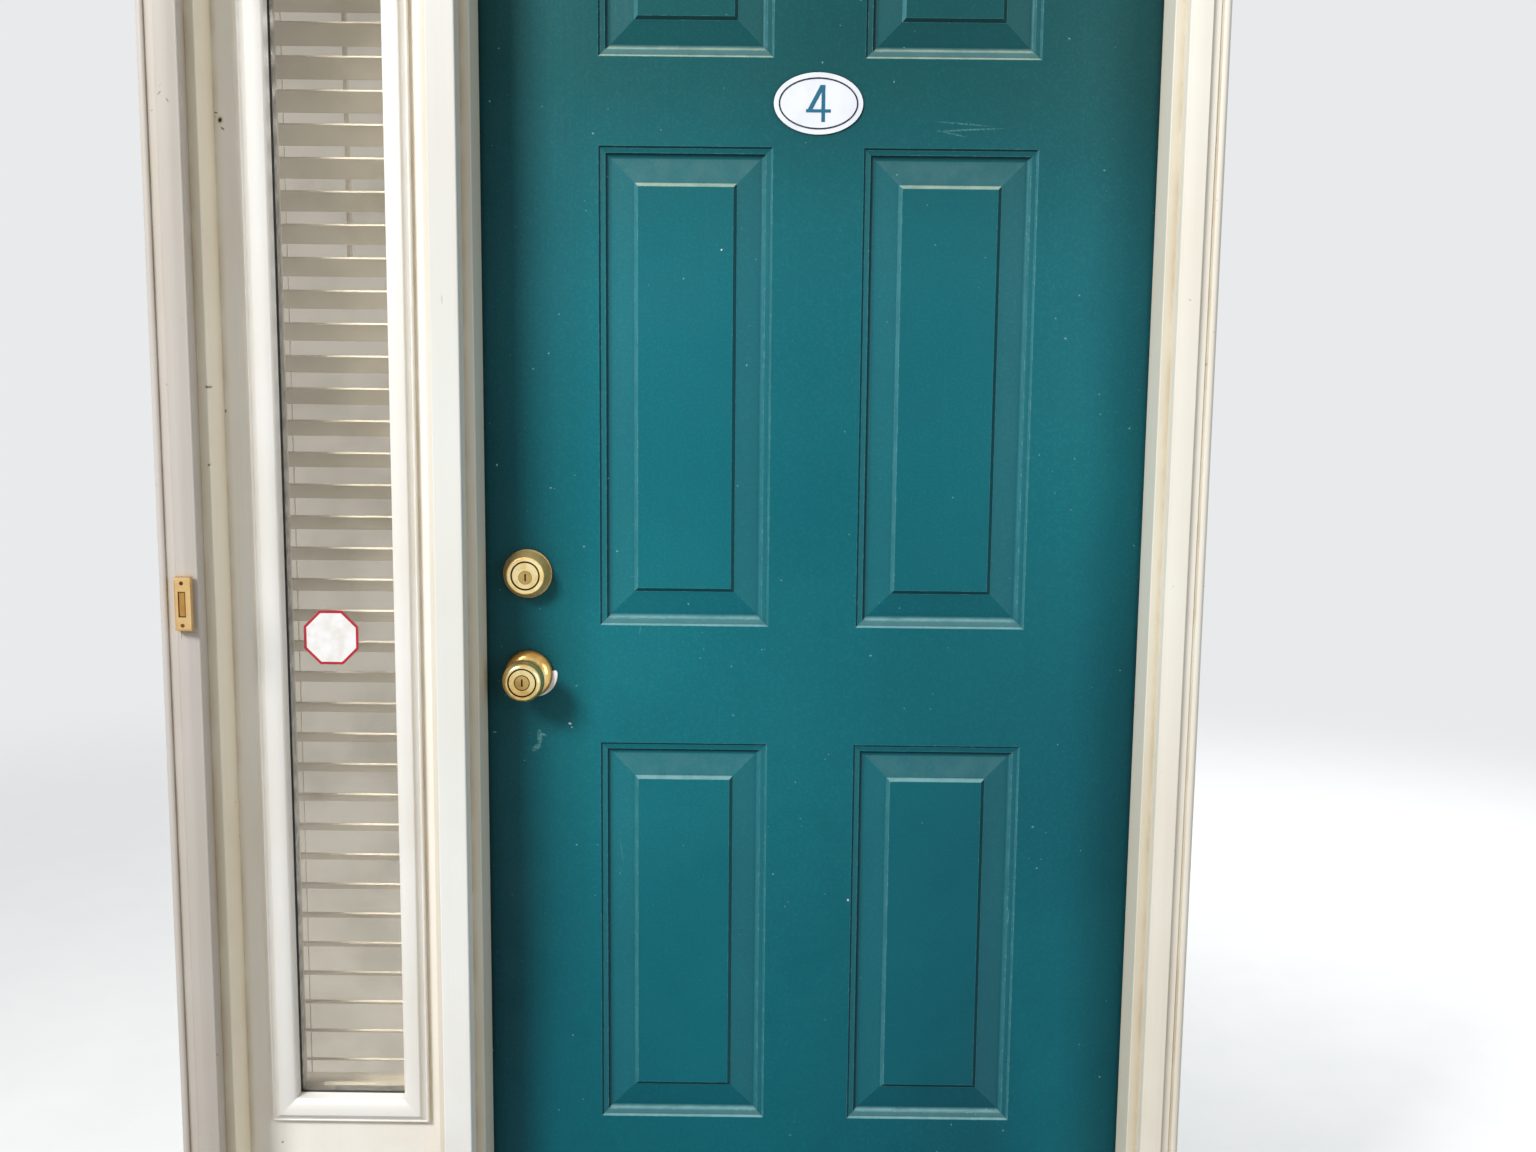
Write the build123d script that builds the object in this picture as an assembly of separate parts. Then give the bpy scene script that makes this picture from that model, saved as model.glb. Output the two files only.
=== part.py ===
from build123d import *
import os
from math import cos, radians, sin, sqrt

# A six-panel front door hung in its timber frame, with a narrow sidelight on the lock side.
# Millimetres. X runs to the right seen from outside, Y runs into the house and Z runs up.
# The origin is on the underside of the sill, below the middle of the doorway, in the plane of
# the frame's outer edge.

# Door leaf
LEAF_WIDTH = 908.0
LEAF_HEIGHT = 2013.0
LEAF_THICKNESS = 44.45
LEAF_GAP = 3.2
SKIN_THICKNESS = 0.6
SKIN_RETURN = 9.0
STILE_WIDTH = 38.0
RAIL_HEIGHT = 38.0
LOCK_BLOCK_WIDTH = 70.0
LOCK_BLOCK_MARGIN = 75.0

# Layout of the raised panels, from the bottom of the leaf upwards
CENTRE_STILE = 120.0
PANEL_WIDTH = 230.0
BOTTOM_RAIL_FACE = 271.5
LOW_PANEL_HEIGHT = 547.5
LOCK_RAIL_FACE = 165.0
UPPER_RAIL_FACE = 114.0
TOP_PANEL_HEIGHT = 163.0
TOP_RAIL_FACE = 112.0

# Section of the pressed moulding round each panel, from its outer edge to the raised field
STEP_WIDTH = 2.4
STEP_DEPTH = 2.4
BAND_WIDTH = 6.6
BAND_FALL = 0.5
COVE_WIDTH = 6.0
COVE_DEPTH = 4.2
GROOVE_WIDTH = 1.0
BEVEL_WIDTH = 31.0
BEVEL_RISE = 2.6
LEDGE_WIDTH = 4.6
LEDGE_RISE = 3.5

# Frame
JAMB_DEPTH = 115.9
JAMB_THICKNESS = 31.75
STOP_HEIGHT = 12.7
STRIP_GAP = 9.5
STOP_ROUND = 1.6
KERF_WIDTH = 3.2
KERF_DEPTH = 10.0
KERF_SETBACK = 2.0
STRIP_MARGIN = 1.0
REVEAL = 12.7
CASING_WIDTH = 50.8
CASING_THICKNESS = 31.75
MULL_CASING_WIDTH = 38.1
SEAT_CLEARANCE = 0.3

# Sill
SILL_HEIGHT = 32.0
SWEEP_HEIGHT = 6.0
SILL_NOSE = 40.0
SILL_NOSE_HEIGHT = 10.0
SILL_SLOPE_TOP = 22.0
SILL_DAM_HEIGHT = 28.0
SILL_SHELF_HEIGHT = 18.0
DECK_WALL = 2.0

# Sidelight
SIDELIGHT_WIDTH = 304.8
SIDELIGHT_GAP = 2.1
SIDELIGHT_THICKNESS = 44.45
LITE_WIDTH = 222.5
LITE_BASE = 271.5
LITE_TOP_DROP = 122.6
LITE_SHIFT = 4.0
LITE_BORDER = 35.5
LITE_PROUD = 13.0
PANE_THICKNESS = 3.2
PANE_SPACE = 15.6
PANE_COVER = 10.0
PANE_EDGE_GAP = 2.0
SPACER_SHOWS = 2.5
STICKER_WIDTH = 75.0
STICKER_THICKNESS = 0.3
STICKER_SHIFT = -14.5
STICKER_RISE = 968.0

# Blind behind the sidelight's glass
SLAT_DEPTH = 50.0
SLAT_THICKNESS = 2.8
SLAT_LENGTH = 286.0
SLAT_PITCH = 44.64
SLAT_TILT = 26.6
LOWEST_SLAT_RISE = 31.2
TOP_SLAT_MARGIN = 14.0
LADDER_INSET = 53.0
LADDER_CORD = 1.6
LADDER_BITE = 0.6
BLIND_CLEARANCE = 29.0
BOTTOM_RAIL_THICKNESS = 18.0
BOTTOM_RAIL_DROP = 7.5
HEADRAIL_LENGTH = 292.0
HEADRAIL_DEPTH = 57.0
HEADRAIL_HEIGHT = 44.0
HEADRAIL_WALL = 1.5
HEADRAIL_RISE = 62.5
BRACKET_FLANGE = 14.0
BRACKET_SHELF = 22.0
WAND_RADIUS = 4.0
WAND_LENGTH = 520.0
WAND_SHIFT = -6.0
WAND_STAND_OFF = 9.0

# Locks
KNOB_HEIGHT = 914.4
LOCK_SPACING = 139.7
BACKSET = 65.3
CROSS_BORE = 54.0
EDGE_BORE = 25.4
FACEPLATE_WIDTH = 25.4
FACEPLATE_HEIGHT = 57.15
FACEPLATE_THICKNESS = 2.4
FACEPLATE_CORNER = 6.0
FACEPLATE_SCREWS = 41.5
LATCH_TUBE_RADIUS = 11.0
LATCH_RADIUS = 8.5
LATCH_LENGTH = 36.0
LATCH_THROW = 12.7
LATCH_TAIL = 6.0
DEADBOLT_RADIUS = 11.0
DEADBOLT_WIDTH = 14.4
DEADBOLT_LENGTH = 44.0
DEADBOLT_THROW = 25.4
DEADBOLT_TUBE_RADIUS = 12.4
DEADBOLT_TUBE_PAST = 10.0
ROSE_RADIUS = 33.3
ROSE_DEPTH = 12.0
ROSE_WALL = 1.5
HUB_RADIUS = 12.0
NECK_RADIUS = 15.7
SPINDLE_RADIUS = 9.0
SPINDLE_GRIP = 7.0
KNOB_RADIUS = 28.5
KNOB_REACH = 61.0
KNOB_FACE_RADIUS = 22.0
PLUG_RADIUS = 9.5
PLUG_LENGTH = 24.0
KEYWAY_WIDTH = 2.0
KEYWAY_HEIGHT = 10.0
KEYWAY_DEPTH = 12.0
BUTTON_RADIUS = 6.0
BUTTON_REACH = 7.0
CHASSIS_RADIUS = 23.0
CHASSIS_WALL = 3.0
CHASSIS_SETBACK = 3.0
RING_RADIUS = 31.5
RING_HOLE_MARGIN = 6.0
RING_THICKNESS = 1.6
RING_SHIFT_X = 9.3
RING_SHIFT_Z = -5.0
RING_TOP_RISE = 3.0
COLLAR_RADIUS = 33.3
COLLAR_REACH = 25.0
COLLAR_FRONT_RADIUS = 24.4
CYLINDER_RADIUS = 18.8
PLUG_DROP = 2.5
INNER_PLATE_RADIUS = 31.5
INNER_PLATE_DEPTH = 10.0
TURN_LENGTH = 38.0
TURN_WIDTH = 8.0
TURN_HEIGHT = 13.0
TURN_SPINDLE_RADIUS = 4.0
FIXING_SPACING = 40.0
RUNNING_CLEARANCE = 0.05
MOVING_CLEARANCE = 0.3

# Strike plates
STRIKE_THICKNESS = 2.0
STRIKE_HEIGHT = 57.0
DEADBOLT_STRIKE_HEIGHT = 70.0
STRIKE_WIDTH = 28.0
STRIKE_CORNER = 4.0
STRIKE_LIP_HEIGHT = 30.0
STRIKE_LIP_REACH = 3.0
POCKET_SIDE_MARGIN = 1.2
POCKET_END_MARGIN = 2.5
POCKET_DEPTH_MARGIN = 2.0

# Butt hinges
HINGE_HEIGHT = 101.6
HINGE_PLATE = 2.4
HINGE_REACH = 34.0
HINGE_CORNER = 15.9
KNUCKLE_RADIUS = 6.35
PIN_RADIUS = 3.2
PIN_HEAD_RADIUS = 5.4
PIN_HEAD_HEIGHT = 4.0
PIN_STAND_OFF = 7.0
KNUCKLE_COUNT = 5
KNUCKLE_GAP = 0.4
TOP_HINGE_DROP = 178.0
LOW_HINGE_RISE = 280.0

# Wood screws with countersunk heads
SCREW_HEAD_RADIUS = 4.2
SCREW_SHANK_RADIUS = 2.2
SCREW_LENGTH = 17.0

# Doorbell
BELL_WIDTH = 21.0
BELL_HEIGHT = 70.0
BELL_DEPTH = 13.0
BELL_BEVEL = 2.4
BELL_RISE = 1030.5
BELL_FROM_EDGE = 15.9
BELL_SLOT_WIDTH = 8.4
BELL_SLOT_HEIGHT = 32.4
BELL_SLOT_DEPTH = 9.0
BELL_BUTTON_DEPTH = 6.0
BELL_BUTTON_SETBACK = 0.8
BELL_SCREW_SPACING = 55.6
BELL_SCREW_RADIUS = 2.6
BELL_SCREW_LENGTH = 26.0

# House number plate
NUMBER_PLATE_WIDTH = 117.0
NUMBER_PLATE_HEIGHT = 79.0
NUMBER_PLATE_THICKNESS = 2.0
NUMBER_PLATE_DROP = 1.0
NUMBER_PLATE_SHIFT = -1.0
NUMBER_LINE_INSET = 6.3
NUMBER_LINE_WIDTH = 2.0
NUMBER_RELIEF = 0.4
NUMBER_HEIGHT = 47.0
NUMBER_WIDTH = 32.5
NUMBER_STROKE = 4.8
NUMBER_SPUR = 7.6

OVERCUT = 1.0

# Places worked out from the sizes above
leaf_right = LEAF_WIDTH / 2
leaf_left = -leaf_right
leaf_front = JAMB_DEPTH - LEAF_THICKNESS
leaf_back = JAMB_DEPTH
leaf_middle = (leaf_front + leaf_back) / 2
leaf_bottom = SILL_HEIGHT + SWEEP_HEIGHT
leaf_top = leaf_bottom + LEAF_HEIGHT
stop_depth = leaf_front - STRIP_GAP
leg_thickness = JAMB_THICKNESS - STOP_HEIGHT
rabbet_x = leaf_right + LEAF_GAP
door_stop_x = rabbet_x - STOP_HEIGHT
jamb_back_x = rabbet_x + leg_thickness
head_rabbet_z = leaf_top + LEAF_GAP
head_stop_z = head_rabbet_z - STOP_HEIGHT
head_top_z = head_rabbet_z + leg_thickness

light_rabbet_right = -jamb_back_x - leg_thickness
light_right = light_rabbet_right - SIDELIGHT_GAP
light_left = light_right - SIDELIGHT_WIDTH
light_rabbet_left = light_left - SIDELIGHT_GAP
light_stop_left = light_rabbet_left + STOP_HEIGHT
light_back_x = light_rabbet_left - leg_thickness
light_centre = (light_left + light_right) / 2
light_front = stop_depth
light_rear = light_front + SIDELIGHT_THICKNESS
light_top = head_rabbet_z - SIDELIGHT_GAP

casing_right = door_stop_x + REVEAL
casing_left = light_stop_left - REVEAL
casing_head = head_stop_z + REVEAL
casing_right_outer = casing_right + CASING_WIDTH
casing_left_outer = casing_left - CASING_WIDTH
casing_head_outer = casing_head + CASING_WIDTH

lite_x = light_centre + LITE_SHIFT
lite_bottom = SILL_HEIGHT + LITE_BASE
lite_top = light_top - LITE_TOP_DROP
lite_height = lite_top - lite_bottom
lite_z = (lite_bottom + lite_top) / 2
glass_width = LITE_WIDTH - 2 * LITE_BORDER
glass_height = lite_height - 2 * LITE_BORDER
pane_width = glass_width + 2 * PANE_COVER
pane_height = glass_height + 2 * PANE_COVER
cutout_width = pane_width + 2 * PANE_EDGE_GAP
cutout_height = pane_height + 2 * PANE_EDGE_GAP
glazing_depth = 2 * PANE_THICKNESS + PANE_SPACE
lite_leg = (SIDELIGHT_THICKNESS - glazing_depth) / 2
pane_front = light_front + lite_leg
pane_rear = pane_front + glazing_depth

cove_start = STEP_WIDTH + BAND_WIDTH
groove_start = cove_start + COVE_WIDTH
bevel_start = groove_start + GROOVE_WIDTH
bevel_end = bevel_start + BEVEL_WIDTH
field_start = bevel_end + LEDGE_WIDTH
band_depth = STEP_DEPTH + BAND_FALL
groove_depth = band_depth + COVE_DEPTH
bevel_depth = groove_depth - BEVEL_RISE
field_depth = bevel_depth - LEDGE_RISE

lock_x = leaf_left + BACKSET
knob_z = leaf_bottom + KNOB_HEIGHT
deadbolt_z = knob_z + LOCK_SPACING
plug_z = deadbolt_z - PLUG_DROP
chassis_front = leaf_front + CHASSIS_SETBACK
chassis_back = leaf_back - CHASSIS_SETBACK
outer_rose_y = leaf_front - RING_THICKNESS

pin_x = leaf_right + LEAF_GAP / 2
pin_y = leaf_back + PIN_STAND_OFF
low_hinge_z = leaf_bottom + LOW_HINGE_RISE + HINGE_HEIGHT / 2
top_hinge_z = leaf_top - TOP_HINGE_DROP - HINGE_HEIGHT / 2
hinge_heights = [low_hinge_z, (low_hinge_z + top_hinge_z) / 2, top_hinge_z]

slat_front = light_rear + LITE_PROUD + BLIND_CLEARANCE
slat_y = slat_front + SLAT_DEPTH / 2 * cos(radians(SLAT_TILT))
headrail_front = slat_y - HEADRAIL_DEPTH / 2
headrail_rear = slat_y + HEADRAIL_DEPTH / 2
headrail_z = lite_top + HEADRAIL_RISE
blind_rail_z = lite_bottom - BOTTOM_RAIL_DROP
lowest_slat_z = blind_rail_z + BOTTOM_RAIL_THICKNESS + LOWEST_SLAT_RISE
slat_count = 1 + int((headrail_z - TOP_SLAT_MARGIN - lowest_slat_z) / SLAT_PITCH)

low_panel_z = leaf_bottom + BOTTOM_RAIL_FACE
middle_panel_z = low_panel_z + LOW_PANEL_HEIGHT + LOCK_RAIL_FACE
top_panel_z = leaf_top - TOP_RAIL_FACE - TOP_PANEL_HEIGHT
middle_panel_height = top_panel_z - UPPER_RAIL_FACE - middle_panel_z
number_plate_z = top_panel_z - UPPER_RAIL_FACE / 2 - NUMBER_PLATE_DROP

bell_x = casing_left - BELL_FROM_EDGE
bell_z = SILL_HEIGHT + BELL_RISE
bell_front = -CASING_THICKNESS - BELL_DEPTH


# Shapes used by several pieces

def block(x0, x1, y0, y1, z0, z1):
    """A box between two corners."""
    return Pos((x0 + x1) / 2, (y0 + y1) / 2, (z0 + z1) / 2) * Box(x1 - x0, y1 - y0, z1 - z0)


def outline(start, *steps):
    """A flat face. A step is a corner, or the middle and the end of an arc."""
    edges = []
    here = start
    for step in steps:
        if isinstance(step[0], tuple):
            middle, end = step
            edges.append(ThreePointArc(here, middle, end))
        else:
            end = step
            edges.append(Line(here, end))
        here = end
    edges.append(Line(here, start))
    return make_face(edges)


def along_x(section, x0, x1):
    """A section drawn in Y and Z, run along X."""
    return extrude(Plane.YZ.offset(x0) * section, amount=x1 - x0)


def along_y(section, y0, y1):
    """A section drawn in X and Z, run along Y."""
    return extrude(Plane.XZ.offset(-y0) * section, amount=y0 - y1)


def along_z(section, z0, z1):
    """A section drawn in X and Y, run along Z."""
    return extrude(Pos(0, 0, z0) * section, amount=z1 - z0)


def rod_x(radius, y, z, x0, x1):
    return along_x(Pos(y, z) * Circle(radius), x0, x1)


def rod_y(radius, x, z, y0, y1):
    return along_y(Pos(x, z) * Circle(radius), y0, y1)


def rod_z(radius, x, y, z0, z1):
    return along_z(Pos(x, y) * Circle(radius), z0, z1)


def turned(section, x, z, face_y, outwards):
    """A section of radius and height, turned about an axis along Y.

    Heights are counted from face_y, towards the outside if outwards is true.
    """
    body = revolve(section, axis=Axis.Y)
    if outwards:
        body = Rot(180, 0, 0) * body
    return Pos(x, face_y, z) * body


def ring(section, width, height, reach):
    """A moulding run round a rectangle in X and Z, mitred at the corners.

    The section is drawn in X and Y, with X counted inwards from the outer edge.
    """
    sides = []
    for turn, length, shift in (
        (0, height, Pos(-width / 2, 0, 0)),
        (180, height, Pos(width / 2, 0, 0)),
        (90, width, Pos(0, 0, height / 2)),
        (-90, width, Pos(0, 0, -height / 2)),
    ):
        half = length / 2
        mitre = outline((0, -half), (reach, -half + reach), (reach, half - reach), (0, half))
        side = along_z(section, -half, half) & along_y(mitre, -2 * reach, 2 * reach)
        sides.append(shift * Rot(0, turn, 0) * side)
    return sides[0] + sides[1:]


def joined(pieces):
    """Several solids in one node."""
    return Compound(children=list(pieces))


# Raised panels

def well_section(half):
    """The moulding's fall from the face to the groove, closed across the panel."""
    slope = sqrt(0.5)
    radius = (COVE_WIDTH ** 2 + COVE_DEPTH ** 2) / (2 * COVE_DEPTH)
    middle = COVE_WIDTH * (1 - slope)
    drop = radius - sqrt(radius ** 2 - (COVE_WIDTH - middle) ** 2)
    cove = half - cove_start
    floor = half - groove_start
    arc = (cove - middle, groove_depth - drop)
    return outline(
        (-half, -OVERCUT),
        (-half, 0),
        (-half + STEP_WIDTH, STEP_DEPTH),
        (-cove, band_depth),
        ((-arc[0], arc[1]), (-floor, groove_depth)),
        (floor, groove_depth),
        (arc, (cove, band_depth)),
        (half - STEP_WIDTH, STEP_DEPTH),
        (half, 0),
        (half, -OVERCUT),
    )


def field_section(half):
    """The bevel and the raised field that stand up inside the groove."""
    foot = half - bevel_start
    return outline(
        (-foot, groove_depth + OVERCUT),
        (-foot, groove_depth),
        (-half + bevel_end, bevel_depth),
        (-half + field_start, field_depth),
        (half - field_start, field_depth),
        (half - bevel_end, bevel_depth),
        (foot, groove_depth),
        (foot, groove_depth + OVERCUT),
    )


def mitred(section, width, height):
    """A shape with one section across its width and its height, mitred at the corners."""
    across = along_z(section(width / 2), -height / 2, height / 2)
    upright = Rot(0, 90, 0) * along_z(section(height / 2), -width / 2, width / 2)
    return across & upright


def panel_hollows():
    """What the six raised panels take out of a face that lies at y = 0."""
    column = (CENTRE_STILE + PANEL_WIDTH) / 2
    hollows = []
    for base, height in (
        (low_panel_z, LOW_PANEL_HEIGHT),
        (middle_panel_z, middle_panel_height),
        (top_panel_z, TOP_PANEL_HEIGHT),
    ):
        well = mitred(well_section, PANEL_WIDTH, height)
        field = mitred(field_section, PANEL_WIDTH, height)
        hollow = well - field
        hollows += [Pos(x, 0, base + height / 2) * hollow for x in (-column, column)]
    return hollows


def pressed(hollows, face_y, inside):
    """The hollows placed on the outer face, or turned round for the inner one."""
    turn = 180 if inside else 0
    return [Pos(0, face_y, 0) * Rot(0, 0, turn) * hollow for hollow in hollows]


# Holes and recesses shared by several pieces

def cross_bores():
    """The two round holes for the locks, through the leaf."""
    radius = CROSS_BORE / 2
    y0 = leaf_front - OVERCUT
    y1 = leaf_back + OVERCUT
    return [rod_y(radius, lock_x, z, y0, y1) for z in (knob_z, deadbolt_z)]


def hinge_outline(grow, near):
    """A hinge leaf in Y and Z, with round corners on the side away from the pin."""
    far = leaf_back - HINGE_REACH - grow
    half = HINGE_HEIGHT / 2 + grow
    corner = HINGE_CORNER
    bend = corner * (1 - sqrt(0.5))
    return outline(
        (near, -half),
        (near, half),
        (far + corner, half),
        ((far + bend, half - bend), (far, half - corner)),
        (far, -half + corner),
        ((far + bend, -half + bend), (far + corner, -half)),
    )


def hinge_mortises(x0, x1):
    """The shallow recesses that take the three hinge leaves."""
    section = hinge_outline(SEAT_CLEARANCE, leaf_back + OVERCUT)
    return [along_x(Pos(0, z) * section, x0, x1) for z in hinge_heights]


def faceplate_pockets():
    """The recesses and bores in the leaf's lock edge."""
    width = FACEPLATE_WIDTH + 2 * SEAT_CLEARANCE
    height = FACEPLATE_HEIGHT + 2 * SEAT_CLEARANCE
    section = RectangleRounded(width, height, FACEPLATE_CORNER)
    bottom = leaf_left + FACEPLATE_THICKNESS
    pockets = []
    for z in (knob_z, deadbolt_z):
        pockets.append(along_x(Pos(leaf_middle, z) * section, leaf_left - OVERCUT, bottom))
        pockets.append(rod_x(EDGE_BORE / 2, leaf_middle, z, leaf_left, lock_x))
    return pockets


def screw(place, grow=0):
    """A countersunk screw with its head flush at x and its shank along X.

    With a positive grow it is the hole that takes the screw.
    """
    x, y, z, direction = place
    shank = SCREW_SHANK_RADIUS + grow
    section = outline(
        (0, 0),
        (SCREW_HEAD_RADIUS + grow, 0),
        (shank, SCREW_HEAD_RADIUS - SCREW_SHANK_RADIUS),
        (shank, SCREW_LENGTH - SCREW_SHANK_RADIUS),
        (0, SCREW_LENGTH + grow),
    )
    return Pos(x, y, z) * Rot(0, 0, -90 * direction) * revolve(section, axis=Axis.Y)


def hinge_screw_places():
    """The four screws of each hinge leaf, staggered."""
    near = leaf_back - HINGE_REACH * 0.32
    far = leaf_back - HINGE_REACH * 0.68
    places = []
    for middle in hinge_heights:
        for share, y in zip((-0.38, -0.13, 0.13, 0.38), (near, far, near, far)):
            places.append((y, middle + share * HINGE_HEIGHT))
    return places


def hinge_jamb_screws():
    return [(rabbet_x, y, z, 1) for y, z in hinge_screw_places()]


def strike_screws():
    places = []
    for middle, height in ((knob_z, STRIKE_HEIGHT), (deadbolt_z, DEADBOLT_STRIKE_HEIGHT)):
        offset = height / 2 - 2 * SCREW_HEAD_RADIUS
        places += [(-rabbet_x, leaf_middle, middle + s * offset, -1) for s in (-1, 1)]
    return places


def hinge_leaf_screws():
    return [(leaf_right, y, z, -1) for y, z in hinge_screw_places()]


def faceplate_screws(middle):
    offset = FACEPLATE_SCREWS / 2
    return [(leaf_left, leaf_middle, middle + s * offset, 1) for s in (-1, 1)]


def screw_holes(places):
    return [screw(place, RUNNING_CLEARANCE) for place in places]


# Door leaf

def door_skin(hollows, inside):
    """A pressed steel face that folds round the two long edges of the leaf."""
    face = leaf_back if inside else leaf_front
    inwards = -1 if inside else 1
    t = SKIN_THICKNESS
    under = face + inwards * t
    fold = face + inwards * SKIN_RETURN
    past = fold + inwards * OVERCUT
    outer = block(
        leaf_left, leaf_right, min(face, fold), max(face, fold), leaf_bottom, leaf_top
    )
    inner = block(
        leaf_left + t, leaf_right - t, min(under, past), max(under, past),
        leaf_bottom - OVERCUT, leaf_top + OVERCUT,
    )
    outer -= pressed(hollows, face, inside)
    inner -= pressed(hollows, under, inside)
    skin = outer - inner
    skin -= cross_bores()
    if inside:
        skin -= hinge_mortises(leaf_right - HINGE_PLATE, leaf_right + OVERCUT)
    return skin


def lock_block():
    """The timber glued behind the lock stile, where the locks are bored."""
    return block(
        leaf_left + STILE_WIDTH, leaf_left + STILE_WIDTH + LOCK_BLOCK_WIDTH,
        leaf_front + SKIN_THICKNESS, leaf_back - SKIN_THICKNESS,
        knob_z - LOCK_BLOCK_MARGIN, deadbolt_z + LOCK_BLOCK_MARGIN,
    )


def door_core(hollows):
    """The foam between the timbers, shaped by the two skins."""
    core = block(
        leaf_left + STILE_WIDTH, leaf_right - STILE_WIDTH,
        leaf_front + SKIN_THICKNESS, leaf_back - SKIN_THICKNESS,
        leaf_bottom + RAIL_HEIGHT, leaf_top - RAIL_HEIGHT,
    )
    core -= pressed(hollows, leaf_front + SKIN_THICKNESS, False)
    core -= pressed(hollows, leaf_back - SKIN_THICKNESS, True)
    return core - lock_block()


def stile(side):
    """An edge timber, whose middle shows between the two skins."""
    edge = side * leaf_right
    under = side * (leaf_right - SKIN_THICKNESS)
    inner = side * (leaf_right - STILE_WIDTH)
    section = outline(
        (inner, leaf_front + SKIN_THICKNESS),
        (under, leaf_front + SKIN_THICKNESS),
        (under, leaf_front + SKIN_RETURN),
        (edge, leaf_front + SKIN_RETURN),
        (edge, leaf_back - SKIN_RETURN),
        (under, leaf_back - SKIN_RETURN),
        (under, leaf_back - SKIN_THICKNESS),
        (inner, leaf_back - SKIN_THICKNESS),
    )
    return along_z(section, leaf_bottom, leaf_top)


def lock_stile():
    timber = stile(-1) + lock_block()
    timber -= cross_bores() + faceplate_pockets()
    timber -= screw_holes(faceplate_screws(knob_z) + faceplate_screws(deadbolt_z))
    return timber


def hinge_stile():
    timber = stile(1)
    timber -= hinge_mortises(leaf_right - HINGE_PLATE, leaf_right + OVERCUT)
    timber -= screw_holes(hinge_leaf_screws())
    return timber


def leaf_rail(z0, z1):
    return block(
        leaf_left + STILE_WIDTH, leaf_right - STILE_WIDTH,
        leaf_front + SKIN_THICKNESS, leaf_back - SKIN_THICKNESS, z0, z1,
    )


def sweep_tongues(grow):
    """The two tongues that hold the sweep in the bottom rail."""
    reach = leaf_right - STILE_WIDTH - SEAT_CLEARANCE + grow
    half = KERF_WIDTH / 2
    tongues = []
    for y in (leaf_middle - LEAF_THICKNESS / 4, leaf_middle + LEAF_THICKNESS / 4):
        tongues.append(block(
            -reach, reach, y - half, y + half, leaf_bottom, leaf_bottom + KERF_DEPTH + grow
        ))
    return tongues


def bottom_rail():
    return leaf_rail(leaf_bottom, leaf_bottom + RAIL_HEIGHT) - sweep_tongues(SEAT_CLEARANCE)


def door_sweep():
    """The vinyl strip under the leaf, with fins that brush the sill's cap."""
    x0 = leaf_left + SEAT_CLEARANCE
    x1 = leaf_right - SEAT_CLEARANCE
    base = leaf_bottom - SWEEP_HEIGHT / 4
    sweep = block(
        x0, x1, leaf_front + SKIN_RETURN, leaf_back - SKIN_RETURN, base, leaf_bottom
    )
    fin = SWEEP_HEIGHT / 8
    for share in (0.3, 0.5, 0.7):
        y = leaf_front + share * LEAF_THICKNESS
        sweep += block(x0, x1, y - fin, y + fin, SILL_HEIGHT + MOVING_CLEARANCE, base)
    return sweep + sweep_tongues(0)


# Frame timbers

def jamb_section(back, side):
    """A frame leg in X and Y, with its stop towards the side given by the sign."""
    stop = back + side * JAMB_THICKNESS
    shoulder = back + side * leg_thickness
    bend = STOP_ROUND * (1 - sqrt(0.5))
    return outline(
        (back, 0),
        (stop - side * STOP_ROUND, 0),
        ((stop - side * bend, bend), (stop, STOP_ROUND)),
        (stop, stop_depth),
        (shoulder, stop_depth),
        (shoulder, JAMB_DEPTH),
        (back, JAMB_DEPTH),
    )


def head_jamb():
    """The head, which runs across the doorway and the sidelight."""
    bend = STOP_ROUND * (1 - sqrt(0.5))
    section = outline(
        (0, head_top_z),
        (0, head_stop_z + STOP_ROUND),
        ((bend, head_stop_z + bend), (STOP_ROUND, head_stop_z)),
        (stop_depth, head_stop_z),
        (stop_depth, head_rabbet_z),
        (JAMB_DEPTH, head_rabbet_z),
        (JAMB_DEPTH, head_top_z),
    )
    return along_x(section, light_back_x, jamb_back_x)


def kerf_side(side):
    """The slot for the weatherstrip in a leg's stop."""
    near = rabbet_x - KERF_SETBACK
    far = near - KERF_WIDTH
    x0, x1 = sorted((side * near, side * far))
    return block(
        x0, x1, stop_depth - KERF_DEPTH, stop_depth + OVERCUT,
        SILL_HEIGHT - OVERCUT, head_rabbet_z - KERF_SETBACK,
    )


def kerf_head():
    z1 = head_rabbet_z - KERF_SETBACK
    reach = rabbet_x - KERF_SETBACK
    return block(
        -reach, reach, stop_depth - KERF_DEPTH, stop_depth + OVERCUT, z1 - KERF_WIDTH, z1
    )


def leg(back, side, sill_pieces, head):
    """A frame leg, scribed over the sill and under the head."""
    timber = along_z(jamb_section(back, side), 0, head_top_z)
    return timber - (sill_pieces + [head])


def hinge_jamb(sill_pieces, head):
    timber = leg(jamb_back_x, -1, sill_pieces, head) - kerf_side(1)
    timber -= hinge_mortises(rabbet_x - OVERCUT, rabbet_x + HINGE_PLATE)
    return timber - screw_holes(hinge_jamb_screws())


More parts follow.
